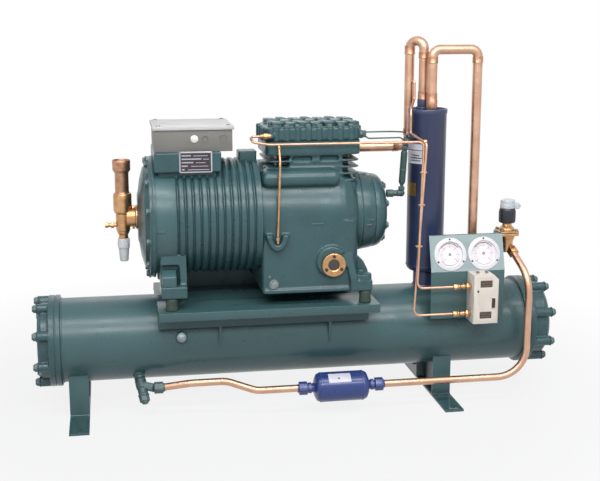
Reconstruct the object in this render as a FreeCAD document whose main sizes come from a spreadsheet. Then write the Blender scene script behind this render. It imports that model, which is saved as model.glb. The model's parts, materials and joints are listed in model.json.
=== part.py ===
"""Water-cooled refrigeration condensing unit: a semi-hermetic compressor on a shell-and-tube condenser.

Frame: X runs along the condenser shell, Y is depth away from the viewer, Z is up. The origin is on the
floor, at the centre of the four foot holes. Lengths are millimetres and angles are degrees.
"""
import FreeCAD, Part
import math
import os

import Sketcher
from FreeCAD import Placement, Rotation, Vector

# Driving dimensions: one cell each in the sheet.
SIZES = {
    # condenser shell, tube sheets and water covers
    "shell_radius": 109.5, "shell_wall": 8.0, "left_overhang": 41.0, "right_overhang": 223.0,
    "shell_clear": 77.5, "flange_rise": 9.0, "tube_sheet_thick": 14.0, "cover_flange": 16.0,
    "left_cover_depth": 28.0, "right_cover_depth": 46.0, "cover_wall": 9.0, "cover_neck_drop": 11.0,
    "cover_chamfer": 9.0, "cover_boss_radius": 12.0, "cover_bolt_inset": 13.0, "cover_bolt_flats": 19.0,
    "cover_bolt_head": 7.5, "tube_radius": 9.5, "tube_circle": 68.0, "inner_tube_circle": 34.0,
    "water_port_radius": 20.0, "water_port_depth": 26.0, "water_port_offset": 43.0, "water_boss_radius": 31.0,
    # feet
    "foot_spacing": 964.0, "strip_width": 50.0, "strip_length": 410.0, "foot_plate": 6.0,
    "saddle_depth": 162.0, "saddle_height": 46.0, "foot_hole_edge": 20.0, "foot_hole_radius": 7.0,
    # platform, gussets and buffers
    "platform_left": 277.0, "platform_right": 288.0, "platform_margin": 15.0, "platform_rise": 103.0,
    "platform_sheet": 6.0, "platform_lip": 22.0, "rail_half_depth": 120.0, "rail_drop": 53.0,
    "rail_short": 20.0, "gusset_left": 120.0, "gusset_right": 166.0, "gusset_height": 58.0,
    "gusset_thick": 6.0, "buffer_radius": 15.0, "buffer_height": 32.0, "buffer_inset": 16.0,
    "left_buffer_x": 243.0, "right_buffer_x": 254.0,
    # crankcase
    "crank_height": 185.0, "case_left": 12.0, "case_length": 253.0, "case_inset": 13.0,
    "case_wall": 14.0, "chamber_radius": 92.0, "case_base_lip": 6.0, "case_base_height": 11.0,
    "deck_height": 191.0, "deck_band": 30.0, "deck_half_depth": 91.0, "deck_start": 17.0,
    "deck_length": 246.0,
    "deck_corner": 24.0, "fin_inset": 9.0, "fin_thick": 5.0, "fin_pitch": 17.0, "bore_radius": 36.0,
    "bore_spacing": 112.0, "gallery_left": 8.0, "gallery_right": 192.0, "gallery_inset": 10.0,
    "gallery_low": 83.0, "gallery_tall": 45.0, "gallery_corner": 20.0,
    "shoulder_length": 46.0, "shoulder_drop": 26.0, "deck_web_start": 62.0, "deck_web_length": 136.0,
    "deck_web_inset": 3.0, "deck_slot_length": 50.0, "deck_slot_height": 13.0, "deck_slot_deep": 8.0,
    "deck_slot_gap": 20.0,
    "case_foot_left": 213.0, "case_foot_right": 272.0, "foot_proud": 2.0, "foot_pad": 31.0,
    "foot_web_thick": 13.0, "case_foot_web": 98.0, "sight_x": 169.0, "sight_drop": 113.0,
    "sight_boss_radius": 38.0, "sight_boss_depth": 7.0, "sight_hood": 8.0,
    "lug_x": 26.0, "lug_drop": 43.0, "lug_radius": 27.0, "lug_wall": 7.0, "lug_depth": 15.0,
    "case_plug_x": 16.0, "case_plug_drop": 160.0, "case_plug_flats": 17.0, "case_plug_head": 6.0,
    # motor housing and its end cover
    "motor_length": 265.0, "barrel_radius": 148.0, "barrel_wall": 20.0, "rib_pitch": 19.2, "rib_depth": 6.0,
    "rib_groove": 6.0, "smooth_band": 52.0, "rim_over": 9.0, "rim_thick": 15.0, "cover_reach": 41.0,
    "cover_shell": 12.0, "nose_radius": 62.0, "suction_bore": 20.0, "motor_foot_left": 269.0,
    "motor_foot_right": 203.0, "box_boss_right": 110.0, "box_boss_front": 108.0, "box_boss_rear": 86.0,
    "box_boss_top": 178.0, "box_boss_low": 127.0, "step_left": 62.0, "step_half_depth": 62.0,
    "step_top": 160.0,
    "end_bolt_inset": 11.0, "end_bolt_flats": 15.0, "end_bolt_head": 7.0,
    # bearing cover and oil pump cover
    "bearing_cover_radius": 106.0, "bearing_taper": 7.0, "bearing_cover_length": 56.0, "bearing_flange": 13.0,
    "bearing_groove": 2.5, "pump_cover_length": 29.0, "pump_face_radius": 80.0,
    "pump_bolt_flats": 14.0, "pump_bolt_head": 6.0, "pump_wall": 10.0,
    # cylinder head
    "valve_plate": 6.0, "head_height": 34.0, "head_corner": 26.0, "head_wall": 10.0, "head_pad_rise": 18.0,
    "head_pad_width": 21.0, "head_pad_depth": 30.0, "head_column": 9.5, "head_bolt_flats": 13.0,
    "head_bolt_head": 6.0,
    # motor and crank train
    "stator_length": 150.0, "stator_bore": 84.0, "stator_right_gap": 62.0, "winding_reach": 24.0,
    "winding_inset": 10.0, "air_gap": 0.6, "rotor_overhang": 4.0, "shaft_radius": 19.0,
    "journal_radius": 22.0, "running_gap": 0.05, "bush_wall": 5.0, "bush_length": 34.0, "bearing_boss": 40.0,
    "crank_throw": 24.0, "pin_radius": 26.0, "pin_length": 34.0, "web_radius": 54.0, "web_thick": 11.0,
    # terminal box
    "box_left": 274.0, "box_right": 81.0, "box_front": 100.0, "box_rear": 80.0, "box_height": 61.0,
    "box_sheet": 2.0, "lid_over": 4.0, "lid_height": 9.0, "board_length": 110.0, "board_depth": 62.0,
    "board_height": 14.0, "stud_radius": 4.0, "stud_height": 20.0, "knockout_radius": 9.5,
    "knockout_rise": 2.0, "knockout_level": 31.0, "knockout_near_reach": 98.0, "knockout_mid_reach": 125.0,
    "knockout_far_reach": 171.0,
    # sight glass
    "glass_ring_radius": 30.5, "glass_ring_depth": 9.0, "glass_radius": 14.0, "glass_recess": 3.0,
    # suction service valve
    "suction_x": 355.5, "valve_body_radius": 20.0, "valve_body_below": 37.0, "valve_body_above": 43.0,
    "collar_radius": 24.0, "collar_height": 20.0, "branch_radius": 26.0, "valve_flange_radius": 31.0,
    "valve_flange": 9.0, "valve_neck_radius": 12.0, "valve_neck": 22.0, "port_radius": 7.0,
    "port_reach": 45.0, "port_drop": 14.0, "stub_radius": 17.5, "stub_wall": 1.5, "stub_length": 106.0,
    "suction_pipe": 21.0, "solder_gap": 0.1, "bell_length": 35.0, "stub_seat": 8.0, "passage_radius": 15.0,
    "spindle_radius": 4.5, "spindle_square": 6.0, "disc_radius": 12.0, "disc_height": 16.0,
    "valve_cap_radius": 15.0, "valve_cap_length": 70.0, "cap_wall": 2.5,
    # discharge pipework and oil separator
    "discharge_pipe": 14.0, "riser_pipe": 12.7, "discharge_drop": 28.0, "riser_y": 45.0, "inlet_y": 15.0,
    "riser_x": 402.0, "inlet_inset": 12.0, "riser_top": 949.0, "outlet_reach": 9.0, "outlet_y": 16.0,
    "crossover_z": 925.0, "drop_x": 577.0, "crossover_bend": 26.0, "riser_bend": 32.0, "coupling_rise": 2.5,
    "coupling_length": 24.0, "drop_boss_radius": 20.0, "drop_boss": 9.0, "separator_gap": 48.0,
    "separator_radius": 50.0, "separator_wall": 3.5, "separator_low": 335.0, "separator_top": 774.0,
    "separator_rim": 2.0, "separator_rim_height": 12.0, "separator_leg": 30.0, "separator_round": 14.0,
    "float_pivot": 31.0, "float_level": 400.0, "float_arm": 26.0, "float_radius": 17.0, "float_height": 26.0,
    "float_pin": 2.5, "float_pin_length": 22.0, "float_lug": 4.0, "float_eye": 5.0,
    "pipe_gap": 0.3,
    # oil return line and strainer
    "oil_y": 60.0, "oil_port_z": 560.0, "oil_elbow_reach": 39.0, "strainer_lean": 9.0, "strainer_bend": 12.0,
    "oil_end_bend": 6.0,
    "strainer_low": 590.0, "strainer_high": 672.0, "strainer_radius": 8.5, "oil_tube": 4.0,
    "oil_return_z": 704.0, "oil_return_y": 25.0, "oil_boss_radius": 8.0, "oil_boss_reach": 54.0,
    # gauge panel and gauges
    "panel_left": 432.0, "panel_right": 632.0, "panel_front": 130.0, "panel_bend": 359.0,
    "panel_low": 233.0, "panel_slope": 18.0, "panel_face": 96.0, "panel_sheet": 2.5, "panel_lip": 12.0,
    "cheek_rear": 40.0, "cheek_low": 405.0,
    "gauge_up": 45.5, "left_gauge_x": 486.0, "right_gauge_x": 578.0, "gauge_flange_radius": 44.0,
    "gauge_flange": 3.0, "gauge_cup_radius": 37.0, "gauge_cup_depth": 36.0, "gauge_wall": 1.5,
    "gauge_window": 34.0, "dial_thick": 1.5, "dial_depth": 4.0, "gauge_glass": 1.5, "needle_length": 27.0,
    "needle_width": 2.2, "needle_thick": 0.8, "needle_hub": 3.5, "needle_pin": 1.2, "needle_tail": 9.0,
    # pressure switch
    "switch_left": 530.0, "switch_width": 66.0, "switch_depth": 58.0, "switch_low": 231.0,
    "switch_height": 129.0, "switch_wall": 2.5, "switch_chamfer": 12.0, "window_width": 32.0,
    "window_height": 18.0, "window_inset": 17.0, "window_margin": 14.0, "button_width": 8.0,
    "button_height": 24.0, "button_rise": 3.0, "button_depth": 12.0,
    "button_x": 583.0, "button_z": 286.0, "spindle_head": 4.5, "spindle_head_height": 5.0,
    "spindle_shank": 3.0, "spindle_shank_length": 22.0, "low_spindle_x": 548.0, "high_spindle_x": 572.0,
    "switch_spindle_y": 160.0, "slot_width": 1.2, "slot_depth": 1.5,
    # thin copper tubes and their fittings
    "thin_tube": 3.2, "thin_bend": 16.0, "front_tube_y": 110.0, "front_tube_z": 700.0, "clamp_reach": 8.0,
    "upper_line_z": 326.0, "lower_line_z": 254.0, "line_y": 160.0, "upper_corner_back": 16.0,
    "lower_corner_back": 24.0, "line_nut": 8.0, "line_nut_start": 482.0, "line_nut_length": 22.0,
    "tee_x": 34.0, "head_fitting_y": 60.0, "wrap_reach": 14.0, "wrap_rise": 15.0, "tap_z": 812.0,
    "tap_low": 726.0, "vent_end_z": 698.0, "tap_reach": 34.0, "wrap_bend": 5.0, "front_bend": 8.0,
    "tap_bend": 4.0,
    "tap_low_bend": 6.0, "tee_bend": 30.0, "vent_bend": 14.0, "drop_tube_bend": 60.0,
    # solenoid valve
    "solenoid_x": 660.0, "solenoid_y": 58.0, "solenoid_flange": 54.0, "solenoid_flange_low": 438.0,
    "solenoid_flange_thick": 13.0, "solenoid_body_radius": 19.0, "solenoid_body_low": 392.0,
    "bonnet_step": 3.0, "coil_step": 3.0, "bonnet_height": 20.0, "bonnet_radius": 22.0, "tube_outer": 9.0,
    "plunger_wall": 1.2,
    "coil_radius": 22.0, "coil_height": 52.0, "coil_cap": 14.0, "coil_gap": 0.3, "plunger_length": 34.0,
    "plunger_gap": 0.05, "solenoid_spigot": 11.0, "liquid_port_radius": 8.0,
    "liquid_port_boss": 12.0, "liquid_port_rise": 18.0, "liquid_port_reach": 34.0, "liquid_port_depth": 20.0,
    # liquid line and filter drier
    "liquid_pipe": 9.5, "liquid_x": 694.0, "liquid_y": 150.0, "liquid_z": 70.0, "liquid_bend": 78.0,
    "knee_bend": 90.0, "knee_drop": 55.0, "run_bend": 60.0, "nut_bend": 30.0, "liquid_out_x": 13.0,
    "liquid_out_y": 17.0, "liquid_out_z": 2.0,
    "drier_left": 123.0, "drier_right": 256.0, "drier_radius": 38.5, "drier_shoulder": 10.0,
    "drier_neck_radius": 11.0, "drier_reach": 46.0, "nut_flats": 31.0, "nut_length": 24.0,
    "rise_x": 176.0, "rise_y": 130.0, "rise_z": 99.0, "valve_nut_x": 278.0, "valve_nut_y": 110.0,
    "valve_nut_z": 78.0,
    # liquid stop valve under the shell
    "stop_x": 329.0, "stop_angle": 50.0, "stop_lean": 9.5, "stop_radius": 14.0, "stop_start": 107.0,
    "stop_length": 58.0, "stop_cap_flats": 24.0, "stop_cap_length": 26.0,
    # plug on the shell
    "shell_plug_x": 219.0, "shell_plug_angle": 12.0, "shell_plug_boss": 15.0, "shell_plug_rise": 8.0,
    "shell_plug_flats": 16.0, "shell_plug_head": 6.0,
}
ALONG_X = Rotation(Vector(1, 1, 1), 120)
COVER_BOLT_COUNT = 8
END_BOLT_COUNT = 12
PUMP_BOLT_COUNT = 8
RIB_COUNT = 11
FIN_COUNT = 4
HEAD_COLUMN_COUNT = 8
HEAD_ROW_COUNT = 4
OUTER_TUBE_COUNT = 10
INNER_TUBE_COUNT = 4


class Dim:
    """A length or an angle: the sheet expression that gives it, and its value now."""

    def __init__(self, text, value):
        self.text = text
        self.value = value

    @staticmethod
    def of(thing):
        """A Dim as it is, or a plain number as a Dim."""
        return thing if isinstance(thing, Dim) else Dim(f"{thing:.10g}", float(thing))

    def _join(self, sign, other, value):
        return Dim(f"({self.text} {sign} {other.text})", value)

    def __add__(self, other):
        other = Dim.of(other)
        return self._join("+", other, self.value + other.value)

    def __sub__(self, other):
        other = Dim.of(other)
        return self._join("-", other, self.value - other.value)

    def __mul__(self, other):
        other = Dim.of(other)
        return self._join("*", other, self.value * other.value)

    def __truediv__(self, other):
        other = Dim.of(other)
        return self._join("/", other, self.value / other.value)

    def __neg__(self):
        return Dim.of(0) - self

    def __radd__(self, other):
        return Dim.of(other) + self

    def __rsub__(self, other):
        return Dim.of(other) - self

    def __rmul__(self, other):
        return Dim.of(other) * self


def root(dim):
    """Square root of a Dim."""
    return Dim(f"sqrt({dim.text})", math.sqrt(dim.value))


def sine(angle):
    """Sine of an angle given in degrees."""
    angle = Dim.of(angle)
    return Dim(f"sin({angle.text} * 1 deg)", math.sin(math.radians(angle.value)))


def cosine(angle):
    """Cosine of an angle given in degrees."""
    angle = Dim.of(angle)
    return Dim(f"cos({angle.text} * 1 deg)", math.cos(math.radians(angle.value)))


class Sizes:
    """The spreadsheet of driving dimensions, read as attributes that are Dims."""

    def __init__(self, document):
        self.sheet = document.addObject("Spreadsheet::Sheet", "Sizes")
        for row, (alias, value) in enumerate(SIZES.items(), start=1):
            self.sheet.set(f"A{row}", alias)
            self.sheet.set(f"B{row}", str(value))
            self.sheet.setAlias(f"B{row}", alias)
        document.recompute()

    def __getattr__(self, alias):
        return Dim(f"Sizes.{alias}", float(self.sheet.get(alias)))


doc = FreeCAD.newDocument("condensing_unit")
S = Sizes(doc)
finished = []


def value(thing):
    """Value now of a Dim or number."""
    return Dim.of(thing).value


def bind(thing, prop, dim):
    """Binds one property to the sheet."""
    thing.setExpression(prop, Dim.of(dim).text)


def place(thing, at, turn=Rotation()):
    """Puts a thing at a point given in Dims, turned by a rotation."""
    thing.Placement = Placement(Vector(*[value(c) for c in at]), turn)
    for axis, coordinate in zip("xyz", at):
        bind(thing, f"Placement.Base.{axis}", coordinate)
    return thing


def turn_to(direction):
    """Rotation that takes local Z to a direction."""
    names = {"x": Vector(1, 0, 0), "-x": Vector(-1, 0, 0), "y": Vector(0, 1, 0), "-y": Vector(0, -1, 0),
             "z": Vector(0, 0, 1), "-z": Vector(0, 0, -1)}
    aim = names.get(direction, direction) if isinstance(direction, str) else direction
    return Rotation(Vector(0, 0, 1), aim)


def part(kind, name, sizes, at, turn):
    """A Part primitive with its sizes and place bound to the sheet."""
    thing = doc.addObject(f"Part::{kind}", name)
    for prop, dim in sizes.items():
        bind(thing, prop, dim)
    return place(thing, at, turn)


def rod(name, radius, length, at, direction="z"):
    """A cylinder whose base centre is at a point."""
    return part("Cylinder", name, {"Radius": radius, "Height": length}, at, turn_to(direction))


def taper(name, radius, end_radius, length, at, direction="z"):
    """A cone frustum whose base centre is at a point."""
    return part("Cone", name, {"Radius1": radius, "Radius2": end_radius, "Height": length}, at,
                turn_to(direction))


def block(name, low, high):
    """A box between two corners."""
    spans = [Dim.of(b) - Dim.of(a) for a, b in zip(low, high)]
    return part("Box", name, dict(zip(("Length", "Width", "Height"), spans)), low, Rotation())


def hexagon(name, flats, length, at, direction="z"):
    """A hexagonal head or nut, given across its flats."""
    prism = part("Prism", name, {"Circumradius": Dim.of(flats) / math.sqrt(3), "Height": length}, at,
                 turn_to(direction))
    prism.Polygon = 6
    return prism


def join(name, pieces):
    """One fused shape, or a group of separate solids where they don't meet."""
    thing = doc.addObject("Part::MultiFuse", name)
    thing.Shapes = pieces
    thing.Refine = True
    return thing


def carve(name, base, tools):
    """A shape with others cut out of it."""
    thing = doc.addObject("Part::Cut", name)
    thing.Base = base
    thing.Tool = tools[0] if len(tools) == 1 else join(f"{name}_tools", tools)
    thing.Refine = True
    return thing


def overlap(name, first, second):
    """The common part of two shapes."""
    thing = doc.addObject("Part::Common", name)
    thing.Base = first
    thing.Tool = second
    return thing


def polygon_sketch(body, plane, points):
    """A closed sketch of straight lines whose corners are bound to the sheet."""
    sketch = body.newObject("Sketcher::SketchObject", f"{body.Name}_outline")
    support = [o for o in body.Origin.OriginFeatures if o.Role == plane][0]
    sketch.AttachmentSupport = [(support, "")]
    sketch.MapMode = "FlatFace"
    corners = [Vector(value(u), value(v), 0) for u, v in points]
    for index, corner in enumerate(corners):
        after = corners[(index + 1) % len(corners)]
        sketch.addGeometry(Part.LineSegment(corner, after), False)
    for index in range(len(corners)):
        sketch.addConstraint(Sketcher.Constraint("Coincident", index, 2, (index + 1) % len(corners), 1))
    for index, (u, v) in enumerate(points):
        for kind, dim in (("DistanceX", u), ("DistanceY", v)):
            constraint = sketch.addConstraint(Sketcher.Constraint(kind, -1, 1, index, 1, value(dim)))
            if isinstance(dim, Dim):
                sketch.setExpression(f"Constraints[{constraint}]", dim.text)
    return sketch


def turned(name, profile, at, direction="z"):
    """A body turned from a profile of (radius, distance along the axis) corners."""
    body = doc.addObject("PartDesign::Body", name)
    sketch = polygon_sketch(body, "XZ_Plane", profile)
    feature = body.newObject("PartDesign::Revolution", f"{name}_turn")
    feature.Profile = sketch
    feature.ReferenceAxis = (sketch, ["V_Axis"])
    feature.Angle = 360
    return place(body, at, turn_to(direction))


def extruded(name, outline, length, at, turn=Rotation()):
    """A body padded from an outline of (u, v) corners."""
    body = doc.addObject("PartDesign::Body", name)
    sketch = polygon_sketch(body, "XY_Plane", outline)
    feature = body.newObject("PartDesign::Pad", f"{name}_pad")
    feature.Profile = sketch
    bind(feature, "Length", length)
    return place(body, at, turn)


def rounded_slab(name, low, high, corner):
    """A slab between two corners with its four upright edges rounded."""
    spans = [Dim.of(b) - Dim.of(a) for a, b in zip(low, high)]
    body = extruded(name, [(0, 0), (spans[0], 0), (spans[0], spans[1]), (0, spans[1])], spans[2], low)
    doc.recompute()
    pad = body.Tip
    edges = [f"Edge{i}" for i, edge in enumerate(pad.Shape.Edges, start=1)
             if abs(edge.Vertexes[0].Z - edge.Vertexes[-1].Z) > 1e-6]
    feature = body.newObject("PartDesign::Fillet", f"{name}_round")
    feature.Base = (pad, edges)
    bind(feature, "Radius", corner)
    return body


def finish(thing, label):
    """Gives a sub-part its own label and keeps it for export."""
    thing.Label = label
    finished.append(thing)
    return thing


def swept(points, bend, radius):
    """A round bar along runs joined by tangent arcs; bend is one radius or one for each inner point."""
    corners = [Vector(*[value(c) for c in point]) for point in points]
    radii = [value(r) for r in (bend if isinstance(bend, list) else [bend] * (len(corners) - 2))]
    pieces = []
    start = corners[0]
    for before, corner, after, arc in zip(corners[:-2], corners[1:-1], corners[2:], radii):
        into = (corner - before).normalize()
        out = (after - corner).normalize()
        turn = into.getAngle(out)
        back = arc * math.tan(turn / 2)
        first = corner - into * back
        pieces.append(Part.makeCylinder(value(radius), (first - start).Length, start, into))
        inward = (out - into).normalize()
        centre = corner + inward * (arc / math.cos(turn / 2))
        disc = Part.Face(Part.Wire([Part.Circle(first, into, value(radius)).toShape()]))
        pieces.append(disc.revolve(centre, into.cross(out), math.degrees(turn)))
        start = corner + out * back
    last = corners[-1] - start
    pieces.append(Part.makeCylinder(value(radius), last.Length, start, last))
    return pieces[0].multiFuse(pieces[1:])


def ring_of(count, make):
    """Makes one piece for each step round a circle; make gets the index, cosine and sine."""
    steps = [2 * math.pi * (i + 0.5) / count for i in range(count)]
    return [make(i, math.cos(a), math.sin(a)) for i, a in enumerate(steps)]


# Levels and planes that many pieces share.
shell_z = S.shell_clear + S.shell_radius
flange_radius = S.shell_radius + S.flange_rise
platform_top = shell_z + S.platform_rise
case_floor = platform_top + S.buffer_height
crank_z = case_floor + S.crank_height
case_left = -S.case_left
case_half_depth = S.barrel_radius - S.case_inset
gallery_reach = case_half_depth - S.gallery_inset
case_right = case_left + S.case_length
motor_left = case_left - S.motor_length
deck_top = crank_z + S.deck_height
head_base = deck_top + S.valve_plate
head_top = head_base + S.head_height
cover_bolt_circle = flange_radius - S.cover_bolt_inset
pump_face = case_right + S.bearing_cover_length + S.pump_cover_length
shell_left = S.foot_spacing / 2 + S.left_overhang
shell_right = S.foot_spacing / 2 + S.right_overhang
shell_length = shell_left + shell_right
foot_reach = S.barrel_radius + S.foot_proud
platform_half_depth = foot_reach + S.platform_margin
rim_radius = S.barrel_radius + S.rim_over
end_bolt_circle = rim_radius - S.end_bolt_inset
deck_left = case_left + S.deck_start
deck_right = deck_left + S.deck_length
separator_x = S.riser_x + S.separator_gap
inlet_x = separator_x - S.inlet_inset
outlet_x = separator_x + S.outlet_reach
oil_elbow_x = pump_face + S.oil_elbow_reach
strainer_top_x = oil_elbow_x + S.strainer_lean
pump_cover_radius = S.bearing_cover_radius - S.bearing_taper


def shell_core(name):
    """The solid outline of the shell, used to seat what is welded to it."""
    return rod(name, S.shell_radius, shell_length, (-shell_left, 0, shell_z), "x")


def radial(angle):
    """Unit vector in the YZ plane, from the shell's axis, at an angle above the front."""
    turn = math.radians(value(angle))
    return Vector(0, -math.cos(turn), math.sin(turn))


def condenser_shell():
    """The rolled shell with the bosses that its pipes enter through."""
    boss_foot = shell_z + S.shell_radius - S.shell_wall
    boss = rod("drop_boss", S.drop_boss_radius, S.shell_wall + S.drop_boss,
               (S.drop_x, -S.outlet_y, boss_foot), "z")
    out = radial(S.shell_plug_angle)
    foot = S.shell_radius - S.shell_wall
    plug_boss = rod("plug_boss", S.shell_plug_boss, S.shell_wall + S.shell_plug_rise,
                    (-S.shell_plug_x, -foot * cosine(S.shell_plug_angle),
                     shell_z + foot * sine(S.shell_plug_angle)), out)
    outer = join("shell_outer", [shell_core("shell_skin"), boss, plug_boss])
    bore = rod("shell_bore", S.shell_radius - S.shell_wall, shell_length,
               (-shell_left, 0, shell_z), "x")
    drop_hole = rod("drop_hole", S.riser_pipe + S.pipe_gap, S.shell_wall * 4,
                    (S.drop_x, -S.outlet_y, boss_foot - S.shell_wall), "z")
    finish(carve("shell", outer, [bore, drop_hole]), "condenser_shell")


def tube_sheets():
    """The drilled plates that close the shell; each carries a water cover."""
    left = rod("left_sheet", flange_radius, S.tube_sheet_thick, (-shell_left, 0, shell_z), "-x")
    right = rod("right_sheet", flange_radius, S.tube_sheet_thick, (shell_right, 0, shell_z), "x")
    finish(join("sheets", [left, right]), "tube_sheets")


def tube_bundle():
    """Two rings of water tubes from one tube sheet to the other."""
    length = shell_length

    def tube(ring, circle):
        def make(i, c, s):
            return rod(f"tube_{ring}_{i}", S.tube_radius, length,
                       (-shell_left, circle * c, shell_z + circle * s), "x")
        return make

    tubes = ring_of(OUTER_TUBE_COUNT, tube("outer", S.tube_circle))
    tubes += ring_of(INNER_TUBE_COUNT, tube("inner", S.inner_tube_circle))
    finish(join("bundle", tubes), "tube_bundle")


def water_cover(side, depth, start, direction):
    """A cast water box: flange, neck, chamfered end and the bosses for its bolts."""
    neck = flange_radius - S.cover_neck_drop - S.cover_boss_radius / 2
    end = S.cover_flange + depth
    profile = [(neck - S.cover_wall, 0), (flange_radius, 0), (flange_radius, S.cover_flange),
               (neck, S.cover_flange), (neck, end - S.cover_chamfer), (neck - S.cover_chamfer, end),
               (0, end), (0, end - S.cover_wall), (neck - S.cover_wall, end - S.cover_wall)]
    at = (start, 0, shell_z)
    body = turned(f"{side}_cover_turned", profile, at, direction)
    bosses = ring_of(COVER_BOLT_COUNT, lambda i, c, s: rod(
        f"{side}_boss_{i}", S.cover_boss_radius, end - S.cover_flange,
        (start + (S.cover_flange if direction == "x" else -S.cover_flange),
         cover_bolt_circle * c, shell_z + cover_bolt_circle * s), direction))
    bore = rod(f"{side}_chamber", neck - S.cover_wall, end - S.cover_wall, at, direction)
    return body, bosses, bore, end


def left_water_cover():
    """The return-end water cover."""
    start = -shell_left - S.tube_sheet_thick
    body, bosses, bore, _ = water_cover("left", S.left_cover_depth, start, "-x")
    finish(carve("left_cover", join("left_cover_cast", [body] + bosses), [bore]), "left_water_cover")


def right_water_cover():
    """The cover with the water inlet and outlet in its end."""
    start = shell_right + S.tube_sheet_thick
    body, bosses, bore, end = water_cover("right", S.right_cover_depth, start, "x")
    ends = (S.water_port_offset, -S.water_port_offset)
    pads = [rod(f"water_pad_{i}", S.water_boss_radius, S.water_port_depth,
                (start + end - S.water_port_depth, 0, shell_z + offset), "x") for i, offset in enumerate(ends)]
    holes = [rod(f"water_hole_{i}", S.water_port_radius, S.water_port_depth,
                 (start + end - S.water_port_depth, 0, shell_z + offset), "x") for i, offset in enumerate(ends)]
    hollow = carve("right_cover_hollow", join("right_cover_cast", [body] + bosses), [bore])
    finish(carve("right_cover", join("right_cover_ported", [hollow] + pads), holes), "right_water_cover")


def cover_bolts():
    """Hexagon heads on the bosses of both water covers."""
    left = -shell_left - S.tube_sheet_thick - S.cover_flange - S.left_cover_depth
    right = shell_right + S.tube_sheet_thick + S.cover_flange + S.right_cover_depth
    heads = []
    for side, x, direction in (("left", left, "-x"), ("right", right, "x")):
        heads += ring_of(COVER_BOLT_COUNT, lambda i, c, s: hexagon(
            f"{side}_cover_bolt_{i}", S.cover_bolt_flats, S.cover_bolt_head,
            (x, cover_bolt_circle * c, shell_z + cover_bolt_circle * s), direction))
    finish(join("cover_bolt_heads", heads), "cover_bolts")


def foot(side, x):
    """A saddle foot: floor strip, cross web and end plates welded under the shell."""
    half = S.strip_width / 2
    deep = S.saddle_depth / 2
    top = S.shell_clear + S.saddle_height
    strip = block(f"{side}_strip", (x - half, -S.strip_length / 2, 0),
                  (x + half, S.strip_length / 2, S.foot_plate))
    saddle = block(f"{side}_saddle", (x - half, -deep, 0), (x + half, deep, top))
    web = S.foot_plate / 2
    inner = deep - S.foot_plate
    pockets = [block(f"{side}_pocket_{i}", (low, -inner, S.foot_plate), (high, inner, top))
               for i, (low, high) in enumerate([(x - half, x - web), (x + web, x + half)])]
    upright = carve(f"{side}_upright", saddle, pockets + [shell_core(f"{side}_foot_shell")])
    holes = [rod(f"{side}_foot_hole_{i}", S.foot_hole_radius, S.foot_plate,
                 (x, y, 0)) for i, y in enumerate((S.foot_hole_edge - S.strip_length / 2,
                                               S.strip_length / 2 - S.foot_hole_edge))]
    finish(carve(f"{side}_foot_body", join(f"{side}_foot_welded", [strip, upright]), holes), f"{side}_foot")


def mirrored_outlines(outline):
    """An outline for the front and its mirror image for the rear, as lists of (y, z) corners."""
    rear = [(-Dim.of(y), z) for y, z in outline]
    return {"front": outline, "rear": rear}


def platform():
    """Front and rear wings with a folded lip and a stiffening angle, welded to the shell."""
    length = S.platform_left + S.platform_right
    under = platform_top - S.platform_sheet
    inner = S.shell_radius / 4
    deep = platform_half_depth
    lip = platform_top - S.platform_lip
    wings = []
    outline = [(-deep, lip), (S.platform_sheet - deep, lip), (S.platform_sheet - deep, under),
               (-inner, under), (-inner, platform_top), (-deep, platform_top)]
    for side, corners in mirrored_outlines(outline).items():
        wings.append(extruded(f"{side}_wing", corners, length, (-S.platform_left, 0, 0), ALONG_X))
    rail_low = platform_top - S.rail_drop
    rail = -S.rail_half_depth
    outline = [(rail, rail_low), (-S.shell_radius / 2, rail_low),
               (-S.shell_radius / 2, rail_low + S.platform_sheet),
               (rail + S.platform_sheet, rail_low + S.platform_sheet),
               (rail + S.platform_sheet, under), (rail, under)]
    for side, corners in mirrored_outlines(outline).items():
        wings.append(extruded(f"{side}_rail", corners, length - S.rail_short,
                              (-S.platform_left, 0, 0), ALONG_X))
    finish(carve("platform_body", join("platform_welded", wings), [shell_core("platform_shell")]), "platform")


def platform_gussets():
    """Tapered plates that carry the platform down to the shell's sides."""
    rail_low = platform_top - S.rail_drop
    low = rail_low - S.gusset_height
    outline = [(-S.rail_half_depth, rail_low), (-S.shell_radius / 2, rail_low), (-S.shell_radius / 2, low),
               (-S.shell_radius, low)]
    plates = []
    for x, name in ((-S.gusset_left, "left"), (S.gusset_right, "right")):
        for side, corners in mirrored_outlines(outline).items():
            plates.append(extruded(f"{name}_{side}_gusset", corners, S.gusset_thick,
                                   (x - S.gusset_thick / 2, 0, 0), ALONG_X))
    finish(carve("gussets", join("gusset_plates", plates), [shell_core("gusset_shell")]), "platform_gussets")


def rubber_buffers():
    """Four rubber mounts between the platform and the compressor's feet."""
    buffers = []
    for x, name in ((-S.left_buffer_x, "left"), (S.right_buffer_x, "right")):
        for y, side in ((S.buffer_inset - foot_reach, "front"), (foot_reach - S.buffer_inset, "rear")):
            buffers.append(rod(f"{name}_{side}_buffer", S.buffer_radius, S.buffer_height,
                               (x, y, platform_top)))
    finish(join("buffers", buffers), "rubber_buffers")


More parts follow.
